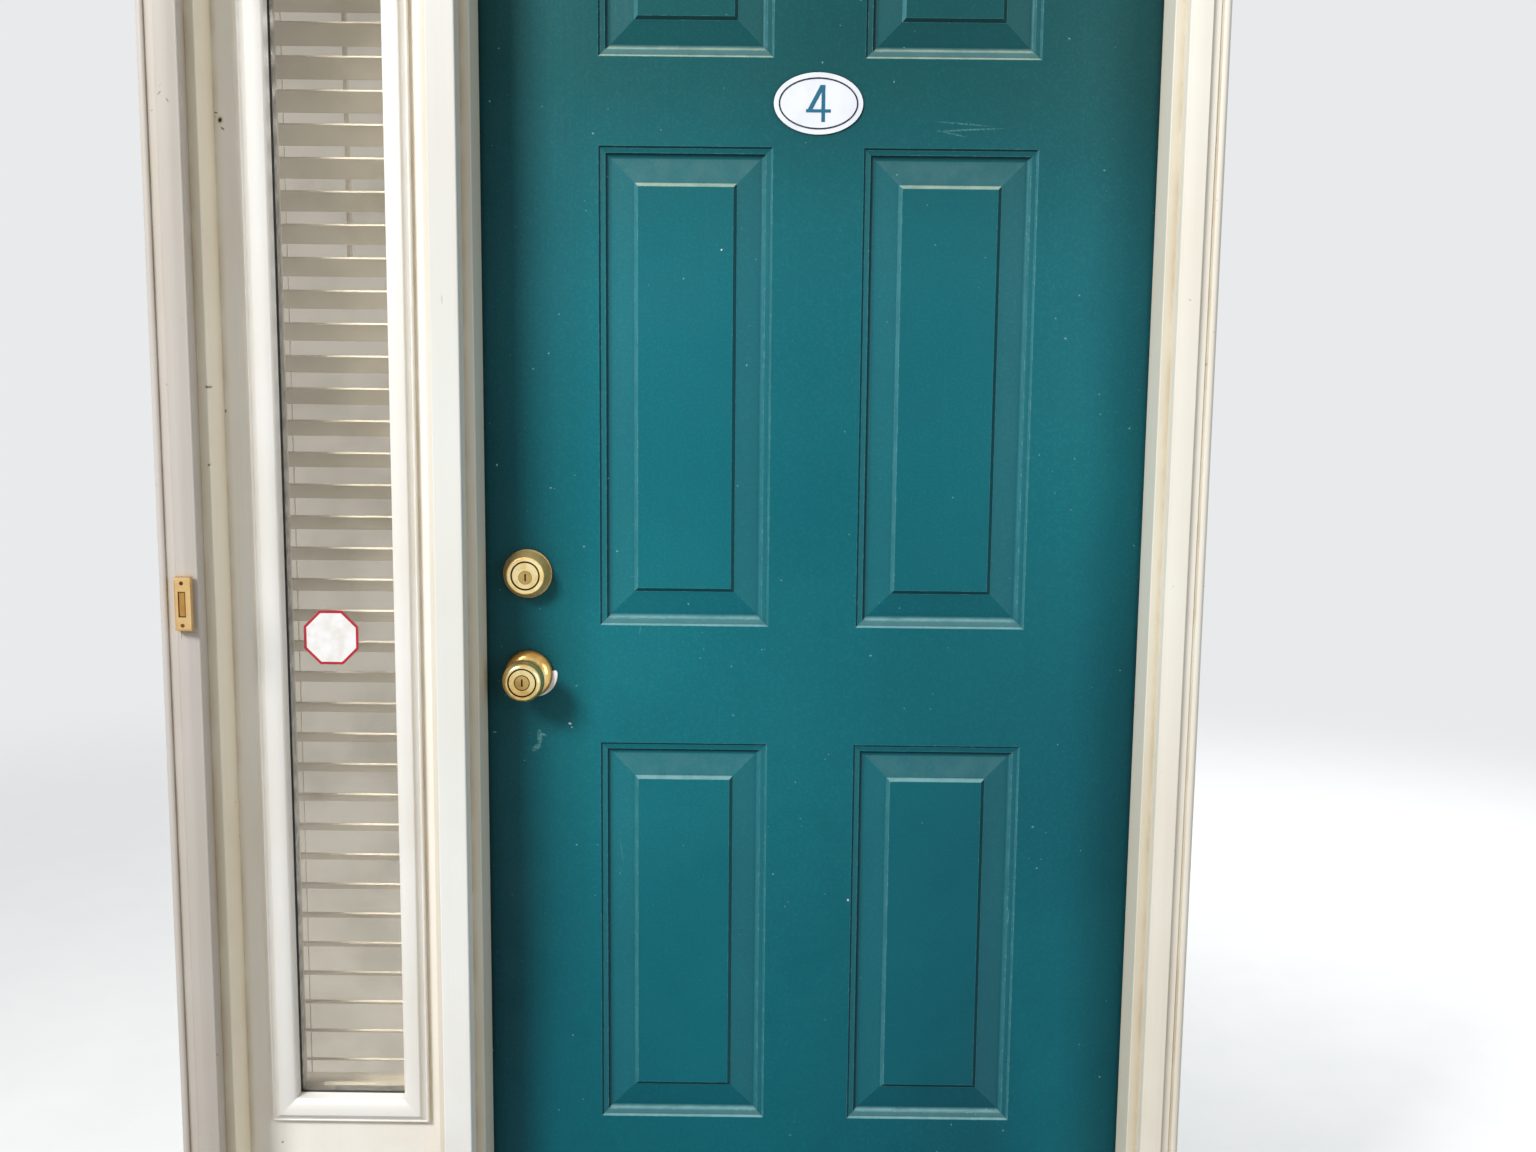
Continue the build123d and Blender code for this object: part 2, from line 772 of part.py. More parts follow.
def bolt_pockets(grow):
    """The openings in the strike side that take the latch and the deadbolt."""
    side = POCKET_SIDE_MARGIN + grow
    end = POCKET_END_MARGIN + grow
    x1 = -rabbet_x + OVERCUT
    pockets = []
    for z, half_width, half_height, throw in (
        (knob_z, LATCH_RADIUS, LATCH_RADIUS, LATCH_THROW),
        (deadbolt_z, DEADBOLT_WIDTH / 2, DEADBOLT_RADIUS, DEADBOLT_THROW),
    ):
        x0 = leaf_left - throw - POCKET_DEPTH_MARGIN
        pockets.append(block(
            x0, x1, leaf_middle - half_width - side, leaf_middle + half_width + side,
            z - half_height - end, z + half_height + end,
        ))
    return pockets


def strike_section(height, grow):
    width = STRIKE_WIDTH + 2 * grow
    return Pos(leaf_middle, 0) * RectangleRounded(width, height + 2 * grow, STRIKE_CORNER)


def strike_recesses():
    """The shallow recesses that take the strike plates."""
    x0 = -rabbet_x - STRIKE_THICKNESS
    x1 = -rabbet_x + OVERCUT
    latch = along_x(Pos(0, knob_z) * strike_section(STRIKE_HEIGHT, SEAT_CLEARANCE), x0, x1)
    half = STRIKE_LIP_HEIGHT / 2 + SEAT_CLEARANCE
    lip = block(x0, x1, leaf_middle, JAMB_DEPTH + OVERCUT, knob_z - half, knob_z + half)
    section = strike_section(DEADBOLT_STRIKE_HEIGHT, SEAT_CLEARANCE)
    return [latch, lip, along_x(Pos(0, deadbolt_z) * section, x0, x1)]


def strike_jamb(sill_pieces, head):
    timber = leg(-jamb_back_x, 1, sill_pieces, head) - kerf_side(-1)
    timber -= strike_recesses() + bolt_pockets(0)
    return timber - screw_holes(strike_screws())


def strike_plates():
    """The latch's plate with its bent lip, and the deadbolt's plate."""
    x0 = -rabbet_x - STRIKE_THICKNESS
    x1 = -rabbet_x
    latch = along_x(Pos(0, knob_z) * strike_section(STRIKE_HEIGHT, 0), x0, x1)
    end = JAMB_DEPTH + STRIKE_LIP_REACH
    lean = STRIKE_LIP_REACH / 2
    lip = outline(
        (x0, leaf_middle),
        (x1, leaf_middle),
        (x1, JAMB_DEPTH),
        (x1 - lean, end),
        (x0 - lean, end),
        (x0, JAMB_DEPTH),
    )
    half = STRIKE_LIP_HEIGHT / 2
    latch += along_z(lip, knob_z - half, knob_z + half)
    deadbolt = along_x(Pos(0, deadbolt_z) * strike_section(DEADBOLT_STRIKE_HEIGHT, 0), x0, x1)
    cuts = bolt_pockets(-MOVING_CLEARANCE) + screw_holes(strike_screws())
    return latch - cuts, deadbolt - cuts


def weatherstrip():
    """Three strips in the kerfs, which stop just short of the closed leaf."""
    near = door_stop_x + STRIP_MARGIN
    far = rabbet_x - STRIP_MARGIN
    face = leaf_front - MOVING_CLEARANCE
    bend = 3.0
    turn = bend * (1 - sqrt(0.5))
    kerf_near = rabbet_x - KERF_SETBACK - KERF_WIDTH
    kerf_far = rabbet_x - KERF_SETBACK
    kerf_end = stop_depth - KERF_DEPTH + SEAT_CLEARANCE

    def strip(place):
        return outline(
            place(near, stop_depth),
            place(near, face - bend),
            (place(near + turn, face - turn), place(near + bend, face)),
            place(far, face),
            place(far, stop_depth),
        )

    def fin(place):
        return outline(
            place(kerf_near, kerf_end),
            place(kerf_far, kerf_end),
            place(kerf_far, stop_depth),
            place(kerf_near, stop_depth),
        )

    shift = head_rabbet_z - rabbet_x
    low = SILL_HEIGHT + STRIP_MARGIN
    strips = []
    for side in (-1, 1):
        upright = along_z(strip(lambda x, y: (side * x, y)), low, head_rabbet_z - STRIP_MARGIN)
        upright += along_z(fin(lambda x, y: (side * x, y)), low, head_stop_z - STRIP_MARGIN)
        strips.append(upright)
    head = along_x(strip(lambda x, y: (y, x + shift)), -near, near)
    head += along_x(fin(lambda x, y: (y, x + shift)), -kerf_near, kerf_near)
    return joined(strips + [head])


# Sill

def sill():
    """The core, the aluminium deck and the cap, run under the whole frame."""
    wall = DECK_WALL
    core_section = outline(
        (-SILL_NOSE + wall, 0),
        (-SILL_NOSE + wall, SILL_NOSE_HEIGHT - wall),
        (stop_depth - wall, SILL_SLOPE_TOP - wall),
        (stop_depth - wall, SILL_SHELF_HEIGHT),
        (JAMB_DEPTH, SILL_SHELF_HEIGHT),
        (JAMB_DEPTH, 0),
    )
    deck_section = outline(
        (-SILL_NOSE, 0),
        (-SILL_NOSE, SILL_NOSE_HEIGHT),
        (stop_depth - wall, SILL_SLOPE_TOP),
        (stop_depth - wall, SILL_DAM_HEIGHT),
        (stop_depth, SILL_DAM_HEIGHT),
        (stop_depth, SILL_SHELF_HEIGHT),
        (stop_depth - wall, SILL_SHELF_HEIGHT),
        (stop_depth - wall, SILL_SLOPE_TOP - wall),
        (-SILL_NOSE + wall, SILL_NOSE_HEIGHT - wall),
        (-SILL_NOSE + wall, 0),
    )
    ends = [
        block(casing_left_outer, light_back_x, 0, JAMB_DEPTH, -OVERCUT, SILL_HEIGHT),
        block(jamb_back_x, casing_right_outer, 0, JAMB_DEPTH, -OVERCUT, SILL_HEIGHT),
    ]
    base = along_x(core_section, casing_left_outer, casing_right_outer) - ends
    deck = along_x(deck_section, casing_left_outer, casing_right_outer) - ends
    cap = block(
        light_back_x, jamb_back_x, stop_depth, JAMB_DEPTH, SILL_SHELF_HEIGHT, SILL_HEIGHT
    )
    return base, deck, cap


# Casings on the outside

def brickmould_section(place):
    """The moulded casing. Its points are a distance from the inner edge and a projection."""
    t = CASING_THICKNESS
    w = CASING_WIDTH
    return outline(
        place(0, 0),
        place(0, t - 7.7),
        (place(0.9, t - 5.6), place(3, t - 4.7)),
        (place(13, t - 1.6), place(w - 23.8, t)),
        place(w - 23.3, t - 3.2),
        place(w - 20.8, t - 3.7),
        (place(w - 16.8, t - 4.9), place(w - 12.8, t - 4.7)),
        place(w - 11.8, t - 6.2),
        place(w - 9.8, t - 6.2),
        place(w - 9.2, t - 3.9),
        (place(w - 5.4, t - 2.2), place(w - 1.4, t - 3.9)),
        place(w, t - 5.2),
        place(w, 0),
    )


def brickmoulds(sill_pieces):
    right = along_z(
        brickmould_section(lambda s, h: (casing_right + s, -h)), 0, casing_head_outer
    )
    left = along_z(
        brickmould_section(lambda s, h: (casing_left - s, -h)), 0, casing_head_outer
    )
    head = along_x(
        brickmould_section(lambda s, h: (-h, casing_head + s)),
        casing_left_outer, casing_right_outer,
    )
    mitre = outline(
        (casing_left_outer, casing_head_outer),
        (casing_left, casing_head),
        (casing_right, casing_head),
        (casing_right_outer, casing_head_outer),
    )
    wedge = along_y(mitre, -2 * CASING_THICKNESS, OVERCUT)
    return left - (sill_pieces + [wedge]), right - (sill_pieces + [wedge]), head & wedge


def mull_casing(sill_pieces):
    half = MULL_CASING_WIDTH / 2
    soft = STOP_ROUND
    section = outline(
        (-half, 0),
        (-half, -CASING_THICKNESS + soft),
        (-half + soft, -CASING_THICKNESS),
        (half - soft, -CASING_THICKNESS),
        (half, -CASING_THICKNESS + soft),
        (half, 0),
    )
    return along_z(Pos(-jamb_back_x, 0) * section, 0, casing_head) - sill_pieces


# Sidelight

def sidelight_slab():
    slab = block(light_left, light_right, light_front, light_rear, SILL_HEIGHT, light_top)
    x = cutout_width / 2
    z = cutout_height / 2
    return slab - block(
        lite_x - x, lite_x + x, light_front - OVERCUT, light_rear + OVERCUT, lite_z - z, lite_z + z
    )


def lite_frame(face_y, inside):
    """The moulded frame on one face of the slab, whose leg reaches in to the pane."""
    p = LITE_PROUD
    b = LITE_BORDER
    leg_start = (LITE_WIDTH - cutout_width) / 2 + SEAT_CLEARANCE
    section = outline(
        (0, 0),
        (0, -0.42 * p),
        ((0.7, -0.55 * p), (2.2, -0.6 * p)),
        (4.0, -0.52 * p),
        ((7.5, -0.66 * p), (11.0, -0.95 * p)),
        (12.5, -p),
        (15.0, -p),
        ((b - 10.0, -0.88 * p), (b - 3.0, -0.6 * p)),
        (b - 1.0, -0.42 * p),
        (b, lite_leg),
        (leg_start, lite_leg),
        (leg_start, 0),
    )
    frame = ring(section, LITE_WIDTH, lite_height, b)
    turn = 180 if inside else 0
    return Pos(lite_x, face_y, lite_z) * Rot(0, 0, turn) * frame


def pane(y):
    x = pane_width / 2
    z = pane_height / 2
    return block(lite_x - x, lite_x + x, y, y + PANE_THICKNESS, lite_z - z, lite_z + z)


def glass_spacer():
    """The bar between the panes, which shows a little past the frame's lip."""
    y0 = pane_front + PANE_THICKNESS
    y1 = pane_rear - PANE_THICKNESS
    x = pane_width / 2 - PANE_EDGE_GAP
    z = pane_height / 2 - PANE_EDGE_GAP
    inner_x = glass_width / 2 - SPACER_SHOWS
    inner_z = glass_height / 2 - SPACER_SHOWS
    bar = block(lite_x - x, lite_x + x, y0, y1, lite_z - z, lite_z + z)
    return bar - block(
        lite_x - inner_x, lite_x + inner_x, y0 - OVERCUT, y1 + OVERCUT,
        lite_z - inner_z, lite_z + inner_z,
    )


def glass_sticker():
    octagon = RegularPolygon(STICKER_WIDTH / 2, 8, major_radius=False, rotation=22.5)
    x = lite_x + STICKER_SHIFT
    z = SILL_HEIGHT + STICKER_RISE
    return along_y(Pos(x, z) * octagon, pane_front - STICKER_THICKNESS, pane_front)


# Blind

def blind_slats():
    """The slats with the ladder cords that carry them."""
    half_y = SLAT_DEPTH / 2 * cos(radians(SLAT_TILT))
    slat = Rot(-SLAT_TILT, 0, 0) * Box(SLAT_LENGTH, SLAT_DEPTH, SLAT_THICKNESS)
    heights = [lowest_slat_z + i * SLAT_PITCH for i in range(slat_count)]
    slats = [Pos(light_centre, slat_y, z) * slat for z in heights]
    reach = SLAT_LENGTH / 2 - LADDER_INSET
    half = LADDER_CORD / 2
    cords = []
    for x in (light_centre - reach, light_centre + reach):
        for y in (slat_y - half_y - half + LADDER_BITE, slat_y + half_y + half - LADDER_BITE):
            cords.append(block(
                x - half, x + half, y - half, y + half,
                blind_rail_z + BOTTOM_RAIL_THICKNESS, headrail_z,
            ))
    return cords[0] + (cords[1:] + slats)


def blind_bottom_rail():
    section = RectangleRounded(SLAT_DEPTH, BOTTOM_RAIL_THICKNESS, BOTTOM_RAIL_THICKNESS / 6)
    place = Pos(slat_y, blind_rail_z + BOTTOM_RAIL_THICKNESS / 2)
    reach = SLAT_LENGTH / 2
    return along_x(place * section, light_centre - reach, light_centre + reach)


def blind_headrail():
    """A channel that is open upwards."""
    reach = HEADRAIL_LENGTH / 2
    z1 = headrail_z + HEADRAIL_HEIGHT
    wall = HEADRAIL_WALL
    rail = block(
        light_centre - reach, light_centre + reach, headrail_front, headrail_rear, headrail_z, z1
    )
    return rail - block(
        light_centre - reach + wall, light_centre + reach - wall,
        headrail_front + wall, headrail_rear - wall, headrail_z + wall, z1 + OVERCUT,
    )


def blind_brackets():
    """Two brackets that hold the headrail's ends to the frame's inner edge."""
    wall = HEADRAIL_WALL
    z0 = headrail_z
    z1 = headrail_z + HEADRAIL_HEIGHT
    brackets = []
    for side in (-1, 1):
        rail_end = light_centre + side * HEADRAIL_LENGTH / 2
        arm = rail_end + side * wall
        rabbet = light_rabbet_left if side < 0 else light_rabbet_right
        flange = rabbet + side * BRACKET_FLANGE
        shelf = rail_end - side * BRACKET_SHELF
        arm_plate = block(
            min(arm, rail_end), max(arm, rail_end), JAMB_DEPTH, headrail_rear, z0 - wall, z1
        )
        flange_plate = block(
            min(rail_end, flange), max(rail_end, flange), JAMB_DEPTH, JAMB_DEPTH + wall, z0, z1
        )
        shelf_plate = block(
            min(arm, shelf), max(arm, shelf), headrail_front, headrail_rear, z0 - wall, z0
        )
        brackets.append(arm_plate + [flange_plate, shelf_plate])
    return joined(brackets)


def blind_wand():
    """The tilt wand, hung from a hook on the headrail's room side."""
    x = light_centre + WAND_SHIFT
    y = headrail_rear + WAND_STAND_OFF
    top = headrail_z + HEADRAIL_HEIGHT / 2
    wand = along_z(Pos(x, y) * RegularPolygon(WAND_RADIUS, 6), top - WAND_LENGTH, top)
    half = WAND_RADIUS / 2
    return wand + block(x - half, x + half, headrail_rear, y, top - 2 * half, top)


# Doorbell

def bell_screws(grow):
    head = BELL_SCREW_RADIUS + grow
    shank = BELL_SCREW_RADIUS / 2 + grow
    section = outline(
        (0, 0),
        (head, 0),
        (head, -1.0),
        (shank, -1.0 - BELL_SCREW_RADIUS / 2),
        (shank, -BELL_SCREW_LENGTH + shank),
        (0, -BELL_SCREW_LENGTH - grow),
    )
    half = BELL_SCREW_SPACING / 2
    return [turned(section, bell_x, bell_z + s * half, bell_front, True) for s in (-1, 1)]


def doorbell_body():
    middle = bell_front + BELL_DEPTH / 2
    body = Pos(bell_x, middle, bell_z) * Box(BELL_WIDTH, BELL_DEPTH, BELL_HEIGHT)
    body = chamfer(body.faces().sort_by(Axis.Y)[0].edges(), BELL_BEVEL)
    x = BELL_SLOT_WIDTH / 2
    z = BELL_SLOT_HEIGHT / 2
    body -= block(
        bell_x - x, bell_x + x, bell_front - OVERCUT, bell_front + BELL_SLOT_DEPTH,
        bell_z - z, bell_z + z,
    )
    return body - bell_screws(RUNNING_CLEARANCE)


def doorbell_button():
    middle = bell_front + BELL_BUTTON_SETBACK + BELL_BUTTON_DEPTH / 2
    width = BELL_SLOT_WIDTH - 2 * MOVING_CLEARANCE
    height = BELL_SLOT_HEIGHT - 2 * MOVING_CLEARANCE
    button = Pos(bell_x, middle, bell_z) * Box(width, BELL_BUTTON_DEPTH, height)
    return chamfer(button.faces().sort_by(Axis.Y)[0].edges(), MOVING_CLEARANCE)


# Hinges

def knuckle_spans(z, on_frame):
    """The heights of the barrel's knuckles that belong to one of the two leaves."""
    pitch = HINGE_HEIGHT / KNUCKLE_COUNT
    base = z - HINGE_HEIGHT / 2
    gap = KNUCKLE_GAP / 2
    first = 0 if on_frame else 1
    return [
        (base + i * pitch + gap, base + (i + 1) * pitch - gap)
        for i in range(first, KNUCKLE_COUNT, 2)
    ]


def hinge_leaf(z, on_frame):
    """One leaf of a butt hinge with its knuckles."""
    face = rabbet_x if on_frame else leaf_right - HINGE_PLATE
    near = pin_y - KNUCKLE_RADIUS - MOVING_CLEARANCE
    plate = along_x(Pos(0, z) * hinge_outline(0, near), face, face + HINGE_PLATE)
    join = pin_y - PIN_RADIUS
    for z0, z1 in knuckle_spans(z, on_frame):
        plate += rod_z(KNUCKLE_RADIUS, pin_x, pin_y, z0, z1)
        plate += block(face, face + HINGE_PLATE, near - OVERCUT, join, z0, z1)
    bore = PIN_RADIUS + RUNNING_CLEARANCE
    return plate - rod_z(bore, pin_x, pin_y, z - HINGE_HEIGHT, z + HINGE_HEIGHT)


def hinge_leaves(on_frame):
    holes = screw_holes(hinge_jamb_screws() if on_frame else hinge_leaf_screws())
    count = len(holes) // len(hinge_heights)
    leaves = []
    for i, z in enumerate(hinge_heights):
        leaves.append(hinge_leaf(z, on_frame) - holes[i * count:(i + 1) * count])
    return joined(leaves)


def hinge_pins():
    pins = []
    for z in hinge_heights:
        top = z + HINGE_HEIGHT / 2
        pin = rod_z(PIN_RADIUS, pin_x, pin_y, z - HINGE_HEIGHT / 2, top)
        head = rod_z(PIN_HEAD_RADIUS, pin_x, pin_y, top, top + PIN_HEAD_HEIGHT)
        head = chamfer(head.edges().sort_by(Axis.Z)[-1], PIN_HEAD_HEIGHT / 2)
        pins.append(pin + head)
    return joined(pins)


# Knob set

def rose(face_y, hub, outside):
    """A dished rose whose hub clamps the chassis in the leaf."""
    r = ROSE_RADIUS
    d = ROSE_DEPTH
    hole = SPINDLE_RADIUS + RUNNING_CLEARANCE
    section = outline(
        (hole, -hub),
        (HUB_RADIUS, -hub),
        (HUB_RADIUS, d - 3 * ROSE_WALL),
        (r - ROSE_WALL, 0),
        (r, 0),
        (r, ROSE_WALL),
        ((0.84 * r, 0.62 * d), (0.6 * r, 0.86 * d)),
        (0.56 * r, d),
        (hole, d),
    )
    return turned(section, lock_x, knob_z, face_y, outside)


def knob(face_y, hub, outside):
    """A knob with its spindle, bored for what turns inside it."""
    d = ROSE_DEPTH + MOVING_CLEARANCE
    h = KNOB_REACH
    k = KNOB_RADIUS
    f = KNOB_FACE_RADIUS
    bore = (PLUG_RADIUS if outside else BUTTON_RADIUS) + RUNNING_CLEARANCE
    section = outline(
        (0, -hub - SPINDLE_GRIP),
        (SPINDLE_RADIUS, -hub - SPINDLE_GRIP),
        (SPINDLE_RADIUS, d),
        (NECK_RADIUS, d),
        (NECK_RADIUS, d + 5.0),
        ((0.64 * k, 0.48 * h), (0.955 * k, 0.66 * h)),
        ((k, 0.77 * h), (0.93 * k, 0.9 * h)),
        ((0.88 * k, 0.96 * h), (f, h)),
        (f - 2.6, h),
        (f - 3.0, h - 1.6),
        (f - 3.8, h - 1.6),
        (f - 4.2, h - 0.6),
        (bore, h - 0.6),
        (bore, h - PLUG_LENGTH),
        (0, h - PLUG_LENGTH),
    )
    return turned(section, lock_x, knob_z, face_y, outside)


def plug(z, face_y, reach, length):
    """A lock plug with its keyway, whose front stands a distance out from face_y."""
    front = face_y - reach
    body = rod_y(PLUG_RADIUS, lock_x, z, front, front + length)
    x = KEYWAY_WIDTH / 2
    half = KEYWAY_HEIGHT / 2
    return body - block(
        lock_x - x, lock_x + x, front - OVERCUT, front + KEYWAY_DEPTH, z - half, z + half
    )


def turn_button():
    """The locking button in the inner knob."""
    face = leaf_back + KNOB_REACH
    stem_start = face - PLUG_LENGTH + MOVING_CLEARANCE
    stem = rod_y(BUTTON_RADIUS, lock_x, knob_z, stem_start, face)
    grip = BUTTON_RADIUS / 3
    high = BUTTON_RADIUS - MOVING_CLEARANCE
    return stem + block(
        lock_x - grip, lock_x + grip, face, face + BUTTON_REACH, knob_z - high, knob_z + high
    )


def lock_chassis():
    """The hollow drum between the roses, slotted for the latch's tail."""
    drum = rod_y(CHASSIS_RADIUS, lock_x, knob_z, chassis_front, chassis_back)
    inner = CHASSIS_RADIUS - CHASSIS_WALL
    bore = SPINDLE_RADIUS + RUNNING_CLEARANCE
    half = LATCH_TAIL / 2 + MOVING_CLEARANCE
    return drum - [
        rod_y(inner, lock_x, knob_z, chassis_front + CHASSIS_WALL, chassis_back - CHASSIS_WALL),
        rod_y(bore, lock_x, knob_z, chassis_front - OVERCUT, chassis_back + OVERCUT),
        block(
            lock_x - CHASSIS_RADIUS - OVERCUT, lock_x, leaf_middle - half, leaf_middle + half,
            knob_z - half, knob_z + half,
        ),
    ]


def backing_ring():
    """The pale horseshoe that shows below one side of the outer rose."""
    side = 2 * RING_RADIUS
    section = Pos(RING_SHIFT_X, RING_SHIFT_Z) * Circle(RING_RADIUS)
    section -= Pos(0.4 * RING_SHIFT_X, 0.4 * RING_SHIFT_Z) * Circle(HUB_RADIUS + RING_HOLE_MARGIN)
    section -= Pos(RING_SHIFT_X, RING_TOP_RISE + side / 2) * Rectangle(side + 2 * OVERCUT, side)
    return along_y(Pos(lock_x, knob_z) * section, leaf_front - RING_THICKNESS, leaf_front)


def faceplate(z, tube_radius, tube_end, opening):
    """A faceplate with the tube behind it, bored for its bolt."""
    section = RectangleRounded(FACEPLATE_WIDTH, FACEPLATE_HEIGHT, FACEPLATE_CORNER)
    back = leaf_left + FACEPLATE_THICKNESS
    plate = along_x(Pos(leaf_middle, z) * section, leaf_left, back)
    plate += rod_x(tube_radius, leaf_middle, z, back, tube_end)
    plate -= along_x(Pos(leaf_middle, z) * opening, leaf_left - OVERCUT, tube_end + OVERCUT)
    return plate - screw_holes(faceplate_screws(z))


def latch_faceplate():
    opening = Circle(LATCH_RADIUS + RUNNING_CLEARANCE)
    end = lock_x - CHASSIS_RADIUS - MOVING_CLEARANCE
    return faceplate(knob_z, LATCH_TUBE_RADIUS, end, opening)


def latch_bolt():
    """The spring latch, bevelled on the side that meets the strike first."""
    tip = leaf_left - LATCH_THROW
    tail = tip + LATCH_LENGTH
    bolt = rod_x(LATCH_RADIUS, leaf_middle, knob_z, tip, tail)
    side = leaf_middle - LATCH_RADIUS
    bevel = outline(
        (tip - OVERCUT, side - OVERCUT),
        (leaf_left, side - OVERCUT),
        (leaf_left, side),
        (tip, side + 1.5 * LATCH_RADIUS),
        (tip - OVERCUT, side + 1.5 * LATCH_RADIUS),
    )
    bolt -= along_z(bevel, knob_z - 2 * LATCH_RADIUS, knob_z + 2 * LATCH_RADIUS)
    half = LATCH_TAIL / 2
    return bolt + block(
        tail, lock_x - SPINDLE_RADIUS - LATCH_THROW / 2, leaf_middle - half, leaf_middle + half,
        knob_z - half, knob_z + half,
    )


# Deadbolt

def bolt_section(grow):
    """The deadbolt's round section with two flat sides, in Y and Z."""
    radius = DEADBOLT_RADIUS + grow
    half = DEADBOLT_WIDTH / 2 + grow
    high = sqrt(radius ** 2 - half ** 2)
    return outline(
        (-half, -high),
        ((0, -radius), (half, -high)),
        (half, high),
        ((0, radius), (-half, high)),
    )


def deadbolt_bolt():
    place = Pos(leaf_middle, deadbolt_z)
    bolt = along_x(place * bolt_section(0), leaf_left, leaf_left + DEADBOLT_LENGTH)
    return chamfer(bolt.faces().sort_by(Axis.X)[0].edges(), FACEPLATE_THICKNESS / 3)


def deadbolt_faceplate():
    end = lock_x + DEADBOLT_TUBE_PAST
    plate = faceplate(deadbolt_z, DEADBOLT_TUBE_RADIUS, end, bolt_section(RUNNING_CLEARANCE))
    hole = TURN_SPINDLE_RADIUS + MOVING_CLEARANCE
    return plate - rod_y(hole, lock_x, deadbolt_z, leaf_front, leaf_back)


def deadbolt_collar():
    """The outer collar, with the cylinder's face inside a groove."""
    r = COLLAR_RADIUS
    f = COLLAR_FRONT_RADIUS
    h = COLLAR_REACH
    c = CYLINDER_RADIUS
    section = outline(
        (0, 0),
        (r, 0),
        (r, 2.0),
        (r - 1.0, 3.0),
        (f + 1.6, h - 2.4),
        ((f + 1.0, h - 0.7), (f, h)),
        (c + 0.9, h),
        (c + 0.5, h - 2.0),
        (c - 0.5, h - 2.0),
        (c - 0.9, h - 0.6),
        (0, h - 0.6),
    )
    collar = turned(section, lock_x, deadbolt_z, leaf_front, True)
    bore = PLUG_RADIUS + RUNNING_CLEARANCE
    collar -= rod_y(bore, lock_x, plug_z, leaf_front - h - OVERCUT, leaf_front + OVERCUT)
    return collar - fixing_screws(RUNNING_CLEARANCE)


def fixing_screws(grow):
    """The machine screws from the inner plate through the leaf into the collar."""
    shank = SCREW_SHANK_RADIUS + grow
    length = INNER_PLATE_DEPTH + LEAF_THICKNESS + COLLAR_REACH / 2
    section = outline(
        (0, 0),
        (SCREW_HEAD_RADIUS + grow, 0),
        (shank, SCREW_SHANK_RADIUS - SCREW_HEAD_RADIUS),
        (shank, -length - grow),
        (0, -length - grow),
    )
    face = leaf_back + INNER_PLATE_DEPTH
    half = FIXING_SPACING / 2
    return [turned(section, lock_x, deadbolt_z + s * half, face, False) for s in (-1, 1)]


def deadbolt_inner_plate():
    r = INNER_PLATE_RADIUS
    d = INNER_PLATE_DEPTH
    hole = TURN_SPINDLE_RADIUS + RUNNING_CLEARANCE
    section = outline(
        (hole, 0), (r, 0), (r, d / 2), ((0.97 * r, 0.8 * d), (0.85 * r, d)), (hole, d)
    )
    plate = turned(section, lock_x, deadbolt_z, leaf_back, False)
    return plate - fixing_screws(RUNNING_CLEARANCE)


def thumb_turn():
    """The inner thumb turn with the spindle that reaches through the bolt's tube."""
    base = leaf_back + INNER_PLATE_DEPTH + MOVING_CLEARANCE
    half = TURN_WIDTH / 2
    grip = block(
        lock_x - half, lock_x + half, base + 3.0, base + TURN_HEIGHT,
        deadbolt_z - TURN_LENGTH / 2, deadbolt_z + TURN_LENGTH / 2,
    )
    grip = chamfer(grip.edges().filter_by(Axis.Z).group_by(Axis.Y)[-1], 2.0)
    grip += rod_y(TURN_WIDTH, lock_x, deadbolt_z, base, base + 4.0)
    end = leaf_middle - DEADBOLT_TUBE_RADIUS - OVERCUT
    return grip + rod_y(TURN_SPINDLE_RADIUS, lock_x, deadbolt_z, end, base)


# House number

def number_plate():
    """An oval enamel plate with a line near its edge and one figure."""
    place = Pos(NUMBER_PLATE_SHIFT, number_plate_z)
    face = leaf_front - NUMBER_PLATE_THICKNESS
    a = NUMBER_PLATE_WIDTH / 2
    b = NUMBER_PLATE_HEIGHT / 2
    i = NUMBER_LINE_INSET
    j = NUMBER_LINE_INSET + NUMBER_LINE_WIDTH
    s = NUMBER_STROKE
    left = -NUMBER_WIDTH / 2
    right = NUMBER_WIDTH / 2
    low = -NUMBER_HEIGHT / 2
    high = NUMBER_HEIGHT / 2
    stem = right - NUMBER_SPUR
    bar = low + 2.5 * s
    bar_top = bar + 0.85 * s
    sections = [
        Ellipse(a - i, b - i) - Ellipse(a - j, b - j),
        outline((stem - s, low), (stem, low), (stem, high), (stem - s, high)),
        outline((left, bar), (right, bar), (right, bar_top), (left, bar_top)),
        outline((left, bar), (left + 1.3 * s, bar), (stem, high), (stem - 1.3 * s, high)),
    ]
    plate = along_y(place * Ellipse(a, b), face, leaf_front)
    return plate + [along_y(place * section, face - NUMBER_RELIEF, face) for section in sections]


# All nodes

